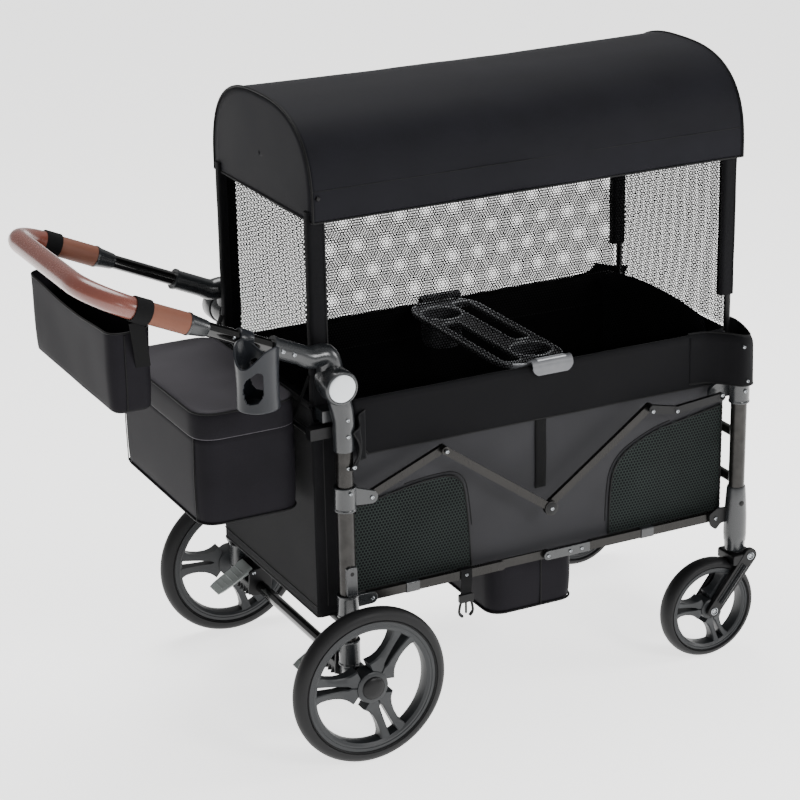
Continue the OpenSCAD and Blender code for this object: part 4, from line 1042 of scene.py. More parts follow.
def rim_bands():
    """The black cloth band that folds over each side's rim, with its corner covers."""
    y_in, y_out = side.y1 - 8 * MM, band.y1 - 1.5 * MM
    section = at((y_in, RIM_Z), (0, -60), (0, -30), (0.5, -8), (4, -1), (8, 1)) + at((y_out, RIM_Z), (-2, -1),
        (0, -8))
    rows = section + [(y_out, RIM_Z - 8 * MM - (RIM_Z - 8 * MM - BAND_BOTTOM) * k / 10) for k in range(1, 11)]
    path = [0.0]
    for (a, b), (c, d) in zip(rows, rows[1:]):
        path.append(path[-1] + math.hypot(c - a, d - b))
    x0, x1 = band.x0 - 4 * MM, band.x1 - 6 * MM
    for s, hand in sides():
        def place(u, v):
            k = min(v * (len(rows) - 1), len(rows) - 1.001)
            (a, b), (c, d), t = rows[int(k)], rows[int(k) + 1], k % 1
            y, z = a + (c - a) * t, b + (d - b) * t
            drop = max(0.0, (RIM_Z - 8 * MM - z) / band_h)
            corner = 34 * MM * drop ** 3
            x = x0 + corner * max(0, 1 - u * 6) + u * (x1 - x0)
            outward = 1 if int(k) >= 5 else 0
            wave = ripple(x, z, 0.11, 21) * 1.4 * MM + math.sin(x * 26) * 0.5 * MM
            return (x, y + outward * wave * drop * 1.2, z + ripple(x, 0, 0.2, 5) * 1.2 * MM)
        cloth = build("rim_band_" + s, Shape().grid(place, 120, len(rows) * 3).mirrored(hand), "fabric",
                      "rear_frame", ("rim_bands",), thick=1.6 * MM)
        folds(cloth)
        edge = [place(u, 0.999) for u in (k / 60 for k in range(61))]
        edge = [place(0.0, v) for v in (0.55, 0.65, 0.75, 0.85, 0.93)] + edge
        folds(build("rim_piping_" + s, Shape().tube(edge, 1.8 * MM, 8).mirrored(hand), "piping", "rear_frame"))
        corner_covers(s, hand, y_out)


def corner_covers(s, hand, y_out):
    """The cover round the top of the front leg, and the piped gusset that ties the band to the rear leg."""
    x_leg, y_leg = front_leg.cx, LEG_Y + LEG_R + 6 * MM
    reach = at((x_leg, y_out), (-92, 1.4), (-60, 6), (-34, 24)) + at((x_leg, y_leg), (-12, -1), (6, 1),
        (19, -7), (24, -24), (24, -50), (16, -74))
    line = smooth_path([Vector((a, b, 0)) for a, b in reach], 6)
    bottom, top = BAND_BOTTOM + 8 * MM, RIM_Z + 2 * MM
    def cover(u, v):
        k = min(u * (len(line) - 1), len(line) - 1.001)
        p = line[int(k)].lerp(line[int(k) + 1], k % 1)
        rise = 10 * MM * max(0, (u - 0.42) / 0.58) ** 1.2 - 10 * MM * max(0,
            math.sin(math.pi * (u - 0.3) / 0.7)) ** 2
        low = bottom - 6 * MM * u
        z = low + v * (top + rise - low)
        lean = 5 * MM * v * max(0, u - 0.3)
        inward = max(0.0, v - 0.86) / 0.14
        return (p.x - lean, p.y - 9 * MM * inward ** 2 - lean, z + ripple(p.x, z, 0.06, 31) * 0.8 * MM)
    cloth = build("corner_cover_" + s, Shape().grid(cover, 56, 24).mirrored(hand), "fabric", "front_frame",
                  thick=1.8 * MM)
    edge = [cover(u / 40, 0.0) for u in range(41)] + [cover(1.0, v / 10) for v in range(1, 11)]
    edge += [cover(1 - u / 20, 1.0) for u in range(1, 21)]
    build("corner_piping_" + s, Shape().tube(edge, 1.9 * MM, 8).mirrored(hand), "piping", "front_frame")
    seam = [cover(0.6, v / 12) for v in range(13)]
    build("corner_seam_" + s,
          Shape().tube([Vector(p) + Vector((0, 0.8 * MM, 0)) for p in seam], 0.9 * MM, 6).mirrored(hand),
          "piping", "front_frame")
    spots = [Vector(cover(u, v)) + Vector((0, 1.6 * MM, 0)) for u, v in ((0.46, 0.1), (0.4, 0.8))]
    build("corner_rivets_" + s, bolts(Shape(), [tuple(p) for p in spots], 3.6 * MM).mirrored(hand), "bolt",
          "front_frame")
    x = rear_leg.cx
    rear_line = smooth_path([Vector((x + 54 * MM, y_out + 1.6 * MM, 0)),
                             Vector((x + 34 * MM, y_out + 10 * MM, 0)),
                             Vector((x + 18 * MM, LEG_Y + LEG_R - 2 * MM, 0)),
                             Vector((x + 2 * MM, LEG_Y + LEG_R + 3.5 * MM, 0))], 6)
    def gusset(u, v):
        k = min(u * (len(rear_line) - 1), len(rear_line) - 1.001)
        p = rear_line[int(k)].lerp(rear_line[int(k) + 1], k % 1)
        scoop = 15 * MM * math.sin(math.pi * min(1, v)) * u ** 2
        z = BAND_BOTTOM - 6 * MM + 3 * MM * u + v * (88 * MM - 22 * MM * u)
        return (p.x + scoop + 8 * MM * v * u, p.y, z)
    cloth = build("rear_gusset_" + s, Shape().grid(gusset, 24, 24).mirrored(hand), "fabric", "rear_frame",
                  thick=1.6 * MM)
    edge = [gusset(u / 16, 0.0) for u in range(17)] + [gusset(1.0, v / 16)
        for v in range(1, 17)] + [gusset(1 - u / 8, 1.0) for u in range(1, 9)]
    build("gusset_piping_" + s, Shape().tube(edge, 1.9 * MM, 8).mirrored(hand), "piping", "rear_frame")
    spot = Vector(gusset(0.88, 0.07)) + Vector((0, 1.6 * MM, 0))
    build("gusset_rivet_" + s, bolts(Shape(), [tuple(spot)], 4.2 * MM).mirrored(hand), "bolt", "rear_frame")


band_h = RIM_Z - BAND_BOTTOM


def end_walls():
    """The rear wall with its side returns and piped lower edge, and the front wall."""
    z0, z1 = back_wall.z0, RIM_Z
    half, turn = side.y1 - 1 * MM, side.x0 - back_wall.x0 - 2 * MM
    total = 2 * half + 2 * turn
    def place(u, v):
        s = (u - 0.5) * total
        z = z0 + v * (z1 - z0)
        y = max(-half, min(half, s))
        x = back_wall.x0 + 2 * MM + (abs(s) - abs(y))
        hollow = ripple(y, z, 0.16, 41) * 1.6 * MM * math.sin(math.pi * v) if abs(s) < half else 0
        if abs(s) > half:
            z = min(z, RIM_Z - 26 * MM)
        return (x + hollow, y, z)
    wall = build("rear_wall", Shape().grid(place, 120, 40), "fabric", "rear_frame", ("rear_panel",),
                 thick=2.4 * MM)
    low = [Vector(place(u / 60, 0)) + Vector((0, 0, 1 * MM)) for u in range(61)]
    trim = Shape().tube(low, 2.6 * MM, 8)
    trim.tube([Vector(place(0.07 + 0.86 * u / 60, 0.05)) - Vector((1.6 * MM, 0, 0)) for u in range(61)],
              0.8 * MM, 6)
    for u in (0.075, 0.925):
        trim.tube([Vector(place(u, v / 20)) - Vector((1.2 * MM, 0, 0)) for v in range(1, 21)], 1.6 * MM, 8)
    build("rear_wall_piping", trim, "piping", "rear_frame")
    top = Shape().tube([(back_wall.x0 + 3 * MM, y * MM, RIM_Z) for y in range(-196, 197, 14)], 4 * MM, 10,
                       flat=1.4)
    build("rear_wall_rim", top, "fabric", "rear_frame")
    z0 = front_wall.z0
    def front(u, v):
        y, z = (u - 0.5) * 2 * (side.y1 - 5 * MM), z0 + v * (RIM_Z - z0)
        return (front_wall.x1 - 2 * MM + ripple(y, z, 0.14, 43) * 1.6 * MM * math.sin(math.pi * v), y, z)
    wall = build("front_wall", Shape().grid(front, 60, 40), "fabric", "front_frame", ("front_panel",),
                 thick=2.4 * MM)
    trim = Shape().tube([front(u / 40, 0) for u in range(41)], 2.4 * MM,
                        8).tube([front(u / 40, 1) for u in range(41)], 4 * MM, 8)
    build("front_wall_piping", trim, "piping", "front_frame")


def floor_and_well():
    """The board floor, and the footwell hanging under it with piped edges and corner seams."""
    z = floor.z0 + 3 * MM
    shape, t = Shape(), 3 * MM
    for a, b in ((floor.x0, well.x0 + 14 * MM), (well.x1 - 14 * MM, floor.x1)):
        shape.plate(rounded(rect(a, floor.y0, b, floor.y1), 6 * MM), z - t, z + t, "z")
    folds(build("floor_boards", shape, "fabric", "rear_frame", ("floor_panel",), bevel=2 * MM))
    x0, x1, half = well.x0 + 13 * MM, well.x1 - 13 * MM, well.y1 - 13 * MM
    ring_of = lambda grow: rounded(rect(x0 - grow, -half - grow, x1 + grow, half + grow), 34 * MM, 10)
    rows = [(-16, 0), (-7, 0.2), (-2, 1), (0, 4), (1.5, 26), (2.2, 56), (1.6, 88), (1, 108), (3, 114)]
    rings = [[(a, b, well.z0 + h * MM + 1 * MM) for a, b in ring_of(g * MM)] for g, h in rows]
    shape = Shape().loft(rings, caps=False)
    n = len(rings[0])
    shape.faces.append(list(range(n))[::-1])
    cloth = build("foot_well", shape, "coated", "rear_frame", ("footwell",), thick=2.4 * MM, subdivide=1)
    folds(cloth)
    edge = Shape().tube([(a, b, well.z0 + 3 * MM) for a, b in ring_of(1.6 * MM)], 2.3 * MM, 8, closed=True)
    for a, b in ((x0 + 100 * MM, -half - 3.4 * MM), (x0 + 100 * MM, half + 3.4 * MM)):
        edge.tube(at((a, b, well.z0), (0, 0, 4), (0, 0, 60), (0, 0, 112)), 1.5 * MM, 8)
    folds(build("foot_well_piping", edge, "piping", "rear_frame"))


def inflate(obj, steps, cap):
    """Swells a closed form by cloth simulation, limiting how far any point moves."""
    bpy.context.view_layer.objects.active = obj
    remesh = obj.modifiers.new("voxels", "REMESH")
    remesh.mode, remesh.voxel_size = "VOXEL", 6 * MM
    deps = bpy.context.evaluated_depsgraph_get()
    mesh = bpy.data.meshes.new_from_object(obj.evaluated_get(deps))
    obj.modifiers.remove(remesh)
    obj.data = mesh
    rest = [v.co.copy() for v in mesh.vertices]
    cloth = obj.modifiers.new("swell", "CLOTH")
    cloth.settings.use_pressure = True
    cloth.settings.uniform_pressure_force = 4
    cloth.settings.quality = 4
    cloth.settings.effector_weights.gravity = 0
    cloth.point_cache.frame_end = steps
    scene = bpy.context.scene
    for f in range(1, steps + 1):
        scene.frame_set(f)
    deps = bpy.context.evaluated_depsgraph_get()
    puffed = obj.evaluated_get(deps).to_mesh()
    moved = [v.co.copy() for v in puffed.vertices]
    obj.evaluated_get(deps).to_mesh_clear()
    obj.modifiers.remove(cloth)
    scene.frame_set(1)
    for v, a, b in zip(mesh.vertices, rest, moved):
        step = b - a
        v.co = a + (step if step.length < cap else step.normalized() * cap)


def cushion(name, low, high, axis, channels, body="rear_frame"):
    """A sewn pad: a swollen closed form with stitched channels across it."""
    size = [h - l for l, h in zip(low, high)]
    flat = [i for i in range(3) if i != axis]
    shrink = 5 * MM
    a0, a1 = low[flat[0]] + shrink, high[flat[0]] - shrink
    b0, b1 = low[flat[1]] + shrink, high[flat[1]] - shrink
    outline = []
    corners = rounded(rect(a0, b0, a1, b1), 28 * MM, 8)
    for (a, b), (c, d) in zip(corners, corners[1:] + corners[:1]):
        parts = max(1, round(math.hypot(c - a, d - b) / (16 * MM)))
        outline += [(a + (c - a) * k / parts, b + (d - b) * k / parts) for k in range(parts)]
    mid, half = (low[axis] + high[axis]) / 2, size[axis] / 2 - 4 * MM
    def place(a, b, t):
        p = [0, 0, 0]
        p[flat[0]], p[flat[1]], p[axis] = a, b, t
        return tuple(p)
    cx, cy = (a0 + a1) / 2, (b0 + b1) / 2
    rings = [[place(cx + (a - cx) * g, cy + (b - cy) * g, mid + half * t) for a, b in outline]
             for g, t in ((0.94, -1), (0.985, -0.8), (1, 0), (0.985, 0.8), (0.94, 1))]
    obj = build(name, Shape().loft(rings), "inner_net", body)
    inflate(obj, 20, 7 * MM)
    for v in obj.data.vertices:
        along = (v.co[flat[0]] - a0) / (a1 - a0) if channels[0] == "a" else (v.co[flat[1]] - b0) / (b1 - b0)
        wave = abs(math.sin(math.pi * along * channels[1]))
        if v.co[axis] > mid:
            v.co[axis] -= 5 * MM * (1 - wave) ** 3
    obj.data.shade_smooth()
    refine = obj.modifiers.new("refine", "SUBSURF")
    refine.levels = refine.render_levels = 1
    return obj


def seating():
    """The two seat pads and the back pad at the front end."""
    z0, z1 = seats.z0, seats.z0 + 34 * MM
    rear = cushion("rear_seat_pad", (seats.x0, -190 * MM, z0), (well.x0 - 1 * MM, 190 * MM, z1), 2, ("a", 4))
    front = cushion("front_seat_pad", (well.x1 + 1 * MM, -190 * MM, z0), (seats.x1 - 32 * MM, 190 * MM, z1), 2,
                    ("a", 3))
    back = cushion("front_back_pad", (seats.x1 - 29 * MM, -183 * MM, z0), (seats.x1, 183 * MM, seats.z1), 0,
                   ("b", 5), "front_frame")
    for v in back.data.vertices:
        crown = max(0.0, 1 - (v.co.y / (175 * MM)) ** 2) ** 0.8
        v.co.z += 26 * MM * crown * max(0.0, (v.co.z - z0) / (seats.z1 - z0)) ** 4
    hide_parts("seat_cushions")
    folds(rear)
    folds(front)


# ---- Canopy and curtains ----

def canopy_outline(grow=0.0, n=64):
    """The canopy's arch as (y, z) points from the right foot over the ridge to the left."""
    foot, a, b = roof.z0 + 10 * MM, roof.y1 - 1.2 * MM + grow, roof.z1 - roof.z0 - 10 * MM - 1.2 * MM + grow
    pts = [(-a, roof.z0)]
    for k in range(n + 1):
        t = math.pi * k / n
        c, s = math.cos(t), max(math.sin(t), 0)
        pts.append((-a * math.copysign(abs(c) ** 0.74, c), foot + b * s ** 0.74))
    return pts + [(a, roof.z0)]


def canopy():
    """One curved sheet from foot to foot, drawn taut over the end bows, with a closed wall at each end."""
    arch = canopy_outline()
    n = len(arch)
    x0, x1 = roof.x0 + 1.5 * MM, roof.x1 - 1.5 * MM
    length = x1 - x0
    def over(u, v):
        k = min(v * (n - 1), n - 1.001)
        (a, b), (c, d), t = arch[int(k)], arch[int(k) + 1], k % 1
        y, z = a + (c - a) * t, b + (d - b) * t
        x = x0 + u * length
        sag = math.sin(math.pi * u)
        high = max(0.0, (z - roof.z0) / (roof.z1 - roof.z0))
        pull = 2.4 * MM * ripple(x, y + z, 0.2, 51) * sag + 1.0 * MM * ripple(x, z * 2, 0.07, 53) * sag
        drop = 4.5 * MM * sag ** 0.8 * high ** 2
        return (x, y * (1 - 0.010 * sag * (1 - high)) + pull * (1 if y > 0 else -1) * (1 - high),
                z - drop + pull * high * 0.7)
    cloth = build("canopy_cloth", Shape().grid(over, 120, 110), "canopy", "rear_frame", ("canopy_roof",),
                  thick=1.4 * MM)
    girth = sum(math.hypot(c - a, d - b) for (a, b), (c, d) in zip(arch, arch[1:]))
    folds(cloth)
    centre_z = roof.z0 + 70 * MM
    for name, x, way, body in (("canopy_rear_wall", x0, -1, "rear_frame"),
                               ("canopy_front_wall", x1, 1, "front_frame")):
        rings = 10
        verts, faces = [], []
        for k in range(rings + 1):
            g = k / rings
            for a, b in arch:
                hump = 2.5 * MM * (1 - g * g)
                verts.append((x + way * (hump - 1 * MM), a * g, centre_z + (b - centre_z) * g))
        m = len(arch)
        for k in range(rings):
            faces += [[k * m + i, k * m + (i + 1) % m, (k + 1) * m + (i + 1) % m, (k + 1) * m + i]
                      for i in range(m)]
        wall = build(name, Shape().add(verts, faces), "canopy", body, thick=1.4 * MM)
        edge = Shape().tube([(x, a, b) for a, b in canopy_outline(0.8 * MM)], 2.2 * MM, 8)
        edge.tube([(x, a, roof.z0 + 0.5 * MM)
                   for a in (roof.y0 + (roof.y1 - roof.y0) * k / 24 for k in range(25))], 2 * MM, 8)
        build(name + "_piping", edge, "piping", body)
    for s, hand in sides():
        hem = Shape().tube([Vector(over(u / 60, 1.0)) + Vector((0, 0.6 * MM, 0.5 * MM)) for u in range(61)],
                           2 * MM, 8)
        hem.tube([Vector(over(u / 60, 0.935)) + Vector((0, 0.7 * MM, 0)) for u in range(61)], 0.7 * MM, 6)
        folds(build("canopy_hem_" + s, hem.mirrored(hand), "piping", "rear_frame"))
        knob = Shape().knob(mm((0.1, 4), (3, 4), (4, 2.4), (4, -1)),
                            (roof.x0 + 11 * MM, roof.y1 - 1 * MM, roof.z0 + 42 * MM))
        build("canopy_snap_" + s, knob.mirrored(hand), "dark_plastic", "rear_frame")


def curtains():
    """Netting on the four sides, and the cloth sleeves round the poles."""
    pitch, hole = 5.4 * MM, 0.69
    z0, z1 = RIM_Z + 1 * MM, roof.z0 + 12 * MM
    for name, x, body, node in (("rear_net", rear_net.cx, "rear_frame", "rear_curtain"),
                                ("front_net", front_net.cx, "front_frame", "front_curtain")):
        half = rear_net.y1 - 2 * MM
        wave = lambda a, b: 2.2 * MM * ripple(a, b, 0.13, 61) * math.sin(math.pi * (a + half) / (2 * half))
        shape = net(lambda a, b: True, lambda a, b: (x + wave(a, b), a, b), (-half, z0, half, z1), pitch, hole)
        cloth = area_of(shape)
        piece = build(name, shape, "netting", body, (node,))
    x0, x1 = side_net.x0 - 4 * MM, side_net.x1 + 4 * MM
    for s, hand in sides():
        wave = lambda a, b: 2.4 * MM * ripple(a, b, 0.15, 63 + hand) * math.sin(math.pi * (a - x0) / (x1 - x0))
        shape = net(lambda a, b: True, lambda a, b: (a, side_net.y1 + wave(a, b), b), (x0, z0, x1, z1), pitch,
                    hole)
        cloth = area_of(shape)
        nodes = ("side_curtains",) if hand > 0 else ()
        piece = build("side_net_" + s, shape.mirrored(hand), "netting", "rear_frame", nodes)
        folds(piece)
    for s, hand in sides():
        for end, pole, body, low, wide in (("rear", rear_pole, "rear_frame", RIM_Z - 6 * MM, (14, 20)),
            ("front", front_pole, "front_frame", RIM_Z + 62 * MM, (20, 9))):
            cx, cy = pole.cx, pole.y1 - 6 * MM
            back, ahead = wide
            outline = rounded([(cx - back * MM, cy - 11 * MM)] + at((cx + ahead * MM, cy), (0, -9), (0, 9))
                              + [(cx - back * MM, cy + 10 * MM)], 7 * MM, 5)
            levels = 26
            rings = []
            for k in range(levels + 1):
                z = low + (roof.z0 + 16 * MM - low) * k / levels
                rings.append([(a + ripple(z, a * 4, 0.05, 71) * 0.8 * MM,
                               b + ripple(z, b * 4, 0.06, 73) * 0.7 * MM, z) for a, b in outline])
            sleeve = Shape().loft(rings)
            cover = build(f"{end}_sleeve_{s}", sleeve.mirrored(hand), "fabric", body)
            seam = Shape().tube([(cx + (ahead - 5) * MM, cy + 9.6 * MM, z)
                                 for z in (low + 2 * MM, roof.z0 + 4 * MM)], 0.8 * MM, 6)
            build(f"{end}_sleeve_seam_{s}", seam.mirrored(hand), "piping", body)


# ---- Bags ----

def bag_ring(x0, x1, half, radius, grow, z, dip=0.0):
    """A rounded rectangle at a height; its long sides may dip between the corners."""
    per_corner = 9
    corner_r = max(radius + grow, 4 * MM)
    pts = rounded(rect(x0 - grow, -half - grow, x1 + grow, half + grow), corner_r, per_corner)
    span = len(pts) // 4
    out = []
    for i, (a, b) in enumerate(pts):
        c, d = pts[(i + 1) % len(pts)]
        long_side, short_side = 20, 8
        steps = 1 if i % span != span - 1 else (short_side, long_side)[(i // span) % 2]
        for k in range(steps):
            t = k / steps
            x, y = a + (c - a) * t, b + (d - b) * t
            out.append((x, y, z - dip * max(0.0, math.cos(math.pi * y / (2 * half + 2 * grow))) ** 1.5))
    return out


def storage_box():
    """A leather-like box behind the tub, its soft walls bellied a little, with a lipped lid whose flat faces
    take a lighter copy of the leather as painted light from above.
    """
    x0, x1, half, r = box_body.x0 + 3 * MM, back_wall.x0 - 15 * MM, box_body.y1 - 3 * MM, 40 * MM
    z0, z1 = box_body.z0, lid.z0 + 3 * MM
    height = z1 - z0
    rows = ((-40, 0.0), (-9, 0.002), (-2.4, 0.02), (0, 0.06), (1.0, 0.25), (1.6, 0.5), (1.0, 0.78), (-0.6, 1.0))
    rings = [[(x, y + ripple(x, z, 0.09, 81) * 0.8 * MM, z)
              for x, y, z in bag_ring(x0, x1, half, r, g * MM, z0 + t * height)] for g, t in rows]
    shape = Shape().loft(rings, caps=False)
    shape.faces.append(list(range(len(rings[0])))[::-1])
    box = build("storage_box_body", shape, "coated", "rear_frame", ("storage_box",), thick=2.6 * MM,
                subdivide=1, sharp=60)
    edge = Shape().tube(bag_ring(x0, x1, half, r, 0.6 * MM, z0 + 4 * MM), 2.0 * MM, 8, closed=True)
    for y in (-half * 0.86, half * 0.86):
        edge.tube([(x0 - 1.6 * MM, y, z0 + 6 * MM), (x0 - 3 * MM, y, z0 + height * 0.5),
                   (x0 - 1 * MM, y, z1 - 4 * MM)], 1.0 * MM, 6)
    build("storage_box_piping", edge, "piping", "rear_frame")
    straps = Shape()
    for y in (-half + 24 * MM, half - 24 * MM):
        way = 1 if y > 0 else -1
        route = smooth_path([(x1 - 10 * MM, y, z1 - 14 * MM), (x1 + 3 * MM, y + way * 4 * MM, z1 + 10 * MM),
                             (back_wall.x0 - 8 * MM, way * (half - 2 * MM), hub.cz - 34 * MM),
                             (hub.cx - 24 * MM, way * (ARM_Y - 27 * MM), hub.cz + 2 * MM)], 5)
        straps.tube(route, 7 * MM, 8, flat=0.22)
    build("storage_box_straps", straps, "webbing", "rear_frame")
    z0, z1 = lid.z0, lid.z1
    drop = z1 - z0
    rows = ((2.6, -0.06), (4.2, -0.05), (4.6, 0.1), (4.4, 0.5), (3.4, 0.84), (1.0, 0.95), (-3, 0.995),
            (-14, 1.0), (-34, 1.01))
    rings = [bag_ring(x0, x1 - 3 * MM, half, r + 2 * MM, g * MM, z0 + t * drop) for g, t in rows]
    n = len(rings[0])
    cx = (x0 + x1) / 2
    for g in (0.72, 0.4, 0.12):
        rings.append([(cx + (x - cx) * g, y * g,
                       z1 + 0.6 * MM + 2.2 * MM * ripple(x * g, y * g, 0.1, 83) * (1 - g))
                      for x, y, z in rings[8]])
    shape = Shape().loft(rings, caps=False)
    shape.faces.append([(len(rings) - 1) * n + i for i in range(n)])
    cover = build("storage_box_cover", shape, "lid", "box_lid", ("box_lid",), thick=2.2 * MM, subdivide=1,
                  sharp=60)
    # Painted light: faces that look up or down take the lighter lid copy of the leather, the sides the coated
    # one.
    cover.data.materials.append(MATERIALS["coated"])
    for face in cover.data.polygons:
        face.material_index = int(abs(face.normal.z) < 0.5)
    trim = Shape().tube(bag_ring(x0, x1 - 3 * MM, half, r + 2 * MM, 2.4 * MM, z1 - 4.0 * MM), 1.9 * MM, 8,
                        closed=True)
    trim.tube(bag_ring(x0, x1 - 3 * MM, half, r + 2 * MM, 4.6 * MM, z0 + 8 * MM), 0.9 * MM, 6, closed=True)
    build("lid_piping", trim, "piping", "box_lid")


def handle_bag():
    """An open bag that hangs from the grip by two loops; its mouth dips between them."""
    x0, x1, half, r = bag.x0 + 3 * MM, bag.x1 - 3 * MM, bag.y1 - 3 * MM, 26 * MM
    z0, z1 = bag.z0, bag.z0 + 140 * MM
    rows = ((-26, 0.0), (-8, 0.002), (-2.4, 0.025), (-1.0, 0.07), (1.0, 0.3), (1.6, 0.55), (1.2, 0.8),
            (2.2, 0.985), (1.6, 1.0))
    rings = []
    for g, t in rows:
        ring = bag_ring(x0, x1, half, r, g * MM, z0 + t * (z1 - z0), dip=11 * MM * t)
        waist = 5.5 * MM * math.sin(math.pi * t) + 7 * MM * t
        mid, slack = (x0 + x1) / 2, 0.8 * (1 - t * 0.4)
        rings.append([(x + (waist if x < mid else -waist) * math.cos(math.pi * y / (2 * half + 0.01)) * slack
                       + ripple(y, z, 0.08, 91) * 1.4 * MM, y, z) for x, y, z in ring])
    shape = Shape().loft(rings, caps=False)
    shape.faces.append(list(range(len(rings[0])))[::-1])
    pouch = build("handle_bag_body", shape, "coated", "handle", ("handle_bag",), thick=2.4 * MM, subdivide=1,
                  sharp=60)
    edge = Shape().tube(rings[-1], 1.9 * MM, 8, closed=True)
    low = [Vector(p) + Vector((0, 0, 2 * MM)) for p in rings[2]]
    edge.tube(low, 1.6 * MM, 8, closed=True)
    for way in (-1, 1):
        x = x0 + 24 * MM
        y = way * (half + 2.2 * MM)
        edge.tube([(x, y - way * 1 * MM, z0 + 6 * MM), (x, y + way * 1 * MM, (z0 + z1) / 2),
                   (x, y + way * 1.4 * MM, z1 - 3 * MM)], 1.3 * MM, 8)
    build("handle_bag_piping", edge, "piping", "handle")
    loops = Shape()
    centre, width = on_arm(BAG_LOOP_AT), 15 * MM
    normal = Vector((math.sin(ARM_ANGLE), 0, math.cos(ARM_ANGLE)))
    turned = []
    for a in (2 * math.pi * i / 28 for i in range(28)):
        out = Vector((0, math.cos(a), 0)) + normal * math.sin(a)
        turned.append([centre + out * (19.4 * MM) + ARM * width, centre + out * (21.6 * MM) + ARM * width,
                       centre + out * (21.6 * MM) - ARM * width, centre + out * (19.4 * MM) - ARM * width])
    loops.loft(turned, closed=True)
    foot = Vector((centre.x + 6 * MM, half + 2 * MM, z1 - 62 * MM))
    head = centre - normal * 20 * MM + Vector((0, 2 * MM, 0))
    mid = head.lerp(foot, 0.5) + Vector((0, 1.5 * MM, 0))
    rings = []
    for p in smooth_path([head, mid, foot], 6):
        rings.append([p + Vector((13 * MM, -0.9 * MM, 0)), p + Vector((13 * MM, 0.9 * MM, 0)),
                      p + Vector((-13 * MM, 0.9 * MM, 0)), p + Vector((-13 * MM, -0.9 * MM, 0))])
    loops.loft(rings)
    build("handle_bag_straps", loops.both(), "webbing", "handle", bevel=0.5 * MM)


# ---- Tray and strap ----

def filled(outlines, z, half_thick, round_off):
    """A flat plate with holes: the first outline is its edge and the others are holes."""
    curve = bpy.data.curves.new("outline", "CURVE")
    curve.dimensions, curve.fill_mode = "2D", "BOTH"
    curve.extrude, curve.bevel_depth, curve.bevel_resolution = half_thick - round_off, round_off, 2
    for outline in outlines:
        spline = curve.splines.new("POLY")
        spline.points.add(len(outline) - 1)
        for point, (a, b) in zip(spline.points, outline):
            point.co = (a, b, 0, 1)
        spline.use_cyclic_u = True
    holder_obj = bpy.data.objects.new("outline", curve)
    mesh = bpy.data.meshes.new_from_object(holder_obj)
    shape = Shape().add([v.co + Vector((0, 0, z)) for v in mesh.vertices],
                        [list(p.vertices) for p in mesh.polygons])
    bpy.data.objects.remove(holder_obj)
    bpy.data.meshes.remove(mesh)
    return shape


def circle(cx, cy, r, n=56):
    return [(cx + r * math.cos(2 * math.pi * k / n), cy + r * math.sin(2 * math.pi * k / n)) for k in range(n)]


def snack_tray():
    """A moulded frame across the tub: two cup wells, two long slots and a stepped hook at each end."""
    cx, top = tray.cx, RIM_Z + 2 * MM
    x0, x1, y = cx - 67 * MM, cx + 67 * MM, 198 * MM
    cups = ((x0 + 44 * MM, 128 * MM), (x1 - 44 * MM, -128 * MM))
    slots = [rounded(rect(cx + (18 if s > 0 else -56) * MM, -74 * MM * s if s > 0 else -175 * MM,
                          cx + (56 if s > 0 else -18) * MM, 175 * MM if s > 0 else 74 * MM), 20 * MM, 8)
             for s in (1, -1)]
    edge = rounded(rect(x0, -y, x1, y), [62 * MM, 56 * MM, 62 * MM, 56 * MM], 12)
    frame_plate = filled([edge] + slots + [circle(a, b, 37.5 * MM) for a, b in cups], top - 4 * MM, 3.6 * MM,
                         1.5 * MM)
    build("tray_frame", frame_plate, "tray", "tray", ("tray",), sharp=50)
    wells = Shape()
    for a, b in cups:
        wells.lathe(mm((37, -1), (38, 1.2), (40.5, 1.4), (41, -2), (39, -8), (37.4, -50), (33, -58), (2, -58),
                       (2, -55), (32, -55), (35.6, -48), (37, -8)), (a, b, top), "z", 56)
    build("tray_wells", wells, "tray", "tray")
    # Painted highlight: the beads along the frame, slot and cup edges take the light grey.
    lips = Shape()
    for outline in slots + [edge] + [circle(a, b, 39 * MM) for a, b in cups]:
        lips.tube([(a, b, top + 0.4 * MM) for a, b in outline], 2 * MM, 8, closed=True)
    build("tray_lips", lips, "tray_highlight", "tray")
    hooks = Shape()
    a0, a1 = x0 + 42 * MM, x1 - 10 * MM
    path = smooth_path([(0, 172, -10), (0, 186, -12), (0, 196, -8), (0, 200, 4), (0, 206, 8.6), (0, 213, 8.4),
                        (0, 218, 1), (0, 218.6, -8), (0, 218.6, -17)], 4)
    rings = []
    for i, p in enumerate(path):
        nxt, prev = path[min(i + 1, len(path) - 1)], path[max(i - 1, 0)]
        t = (nxt - prev).normalized()
        nrm = Vector((0, -t.z, t.y)) * 1.7
        late = max(0.0, (i / (len(path) - 1) - 0.8) / 0.2)
        inset = 12 * MM * late ** 2.2
        rings.append([(a0 + inset, *(Vector((0, p.y, p.z)) + nrm).yz),
                      (a1 - inset, *(Vector((0, p.y, p.z)) + nrm).yz),
                      (a1 - inset, *(Vector((0, p.y, p.z)) - nrm).yz),
                      (a0 + inset, *(Vector((0, p.y, p.z)) - nrm).yz)])
    hooks.loft([[Vector((x, b * MM, top + c * MM)) for x, b, c in ring] for ring in rings])
    build("tray_hooks", hooks.both(), "tray", "tray", bevel=0.8 * MM)
    # Painted highlight: a thin light plate on each hook's top, where the bent tab catches the light.
    pads = Shape().block((a0 + 12 * MM, 204 * MM, top + 8 * MM), (a1 - 12 * MM, 215 * MM, top + 11.4 * MM))
    build("tray_hook_highlights", pads.both(), "tray_highlight", "tray", bevel=1 * MM)


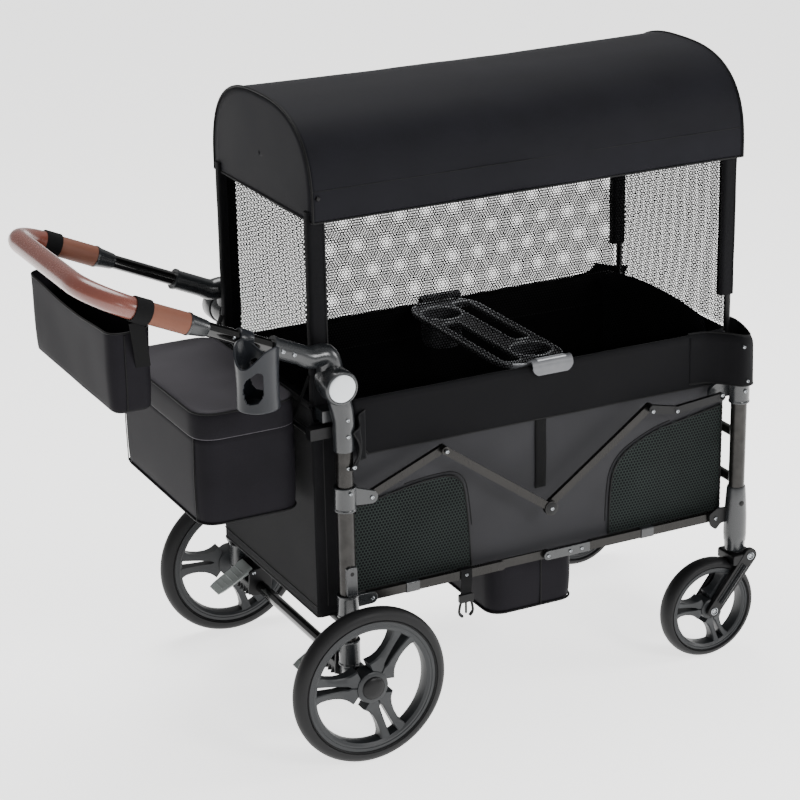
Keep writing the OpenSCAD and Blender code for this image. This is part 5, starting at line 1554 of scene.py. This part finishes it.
def hanging_buckle():
    """A webbing loop round the right rail with half a side-release buckle."""
    x, z = rail.x0 + 198 * MM, rail.z0
    y = -rail.y1 - 1.4 * MM
    loop = Shape()
    strip = [(x, y, rail.z1)] + at((x, y, z), (0, -0.6, -4), (0, 2, -20), (0, 3, -33))
    rings = [[p + Vector((11 * MM, -0.9 * MM, 0)), p + Vector((11 * MM, 0.9 * MM, 0)),
              p + Vector((-11 * MM, 0.9 * MM, 0)), p + Vector((-11 * MM, -0.9 * MM, 0))]
             for p in smooth_path(strip, 5)]
    loop.loft(rings)
    build("buckle_webbing", loop, "webbing", "rail_rear_r", ("buckle_strap",), bevel=0.4 * MM)
    y += 3 * MM
    body = Shape().plate(rounded(rect(x - 14 * MM, z - 46 * MM, x + 14 * MM, z - 30 * MM), 3 * MM), y - 4 * MM,
                         y + 4 * MM)
    for way in (-1, 1):
        prong = smooth_path([(x + way * 10 * MM, y, z - 44 * MM), (x + way * 13 * MM, y, z - 56 * MM),
                             (x + way * 13.5 * MM, y, z - 66 * MM), (x + way * 7 * MM, y, z - 74 * MM)], 5)
        body.tube(prong, [2.6 * MM] * (len(prong) - 5) + [3.2 * MM] * 5, 8)
    body.tube([(x, y, z - 44 * MM), (x, y, z - 68 * MM)], 2.2 * MM, 8)
    build("buckle_half", body, "dark_plastic", "rail_rear_r", bevel=0.8 * MM)


def finish_cad_nodes():
    """Gives the CAD pieces that stay in view their real finish."""
    looks = {"tube": ["rear_legs", "front_legs", "front_crossbars"], "gloss_tube": ["rear_axle", "handle_arms"],
             "dark_plastic": ["rear_poles", "front_poles", "brake_cable", "rear_crossbars"]}
    for s, _ in sides():
        looks["tube"] += [n + s
                          for n in ("link_rear_", "link_long_rear_", "link_long_front_", "rail_rear_",
                                    "rail_front_")]
        looks["dark_plastic"] += ["link_front_" + s]
    for material, nodes in looks.items():
        for node in nodes:
            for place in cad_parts[node].material_slots:
                place.material = MATERIALS[material]


camera()
studio()
finish_cad_nodes()
wheels()
for letter, hand_side in sides():
    caster(letter, hand_side)
hub_sockets()
rear_brackets()
brakes()
front_fittings()
linkage_trim()
elbows()
handle_grip()
cup_holder()
side_panels()
rim_bands()
end_walls()
floor_and_well()
seating()
canopy()
curtains()
storage_box()
handle_bag()
snack_tray()
hanging_buckle()
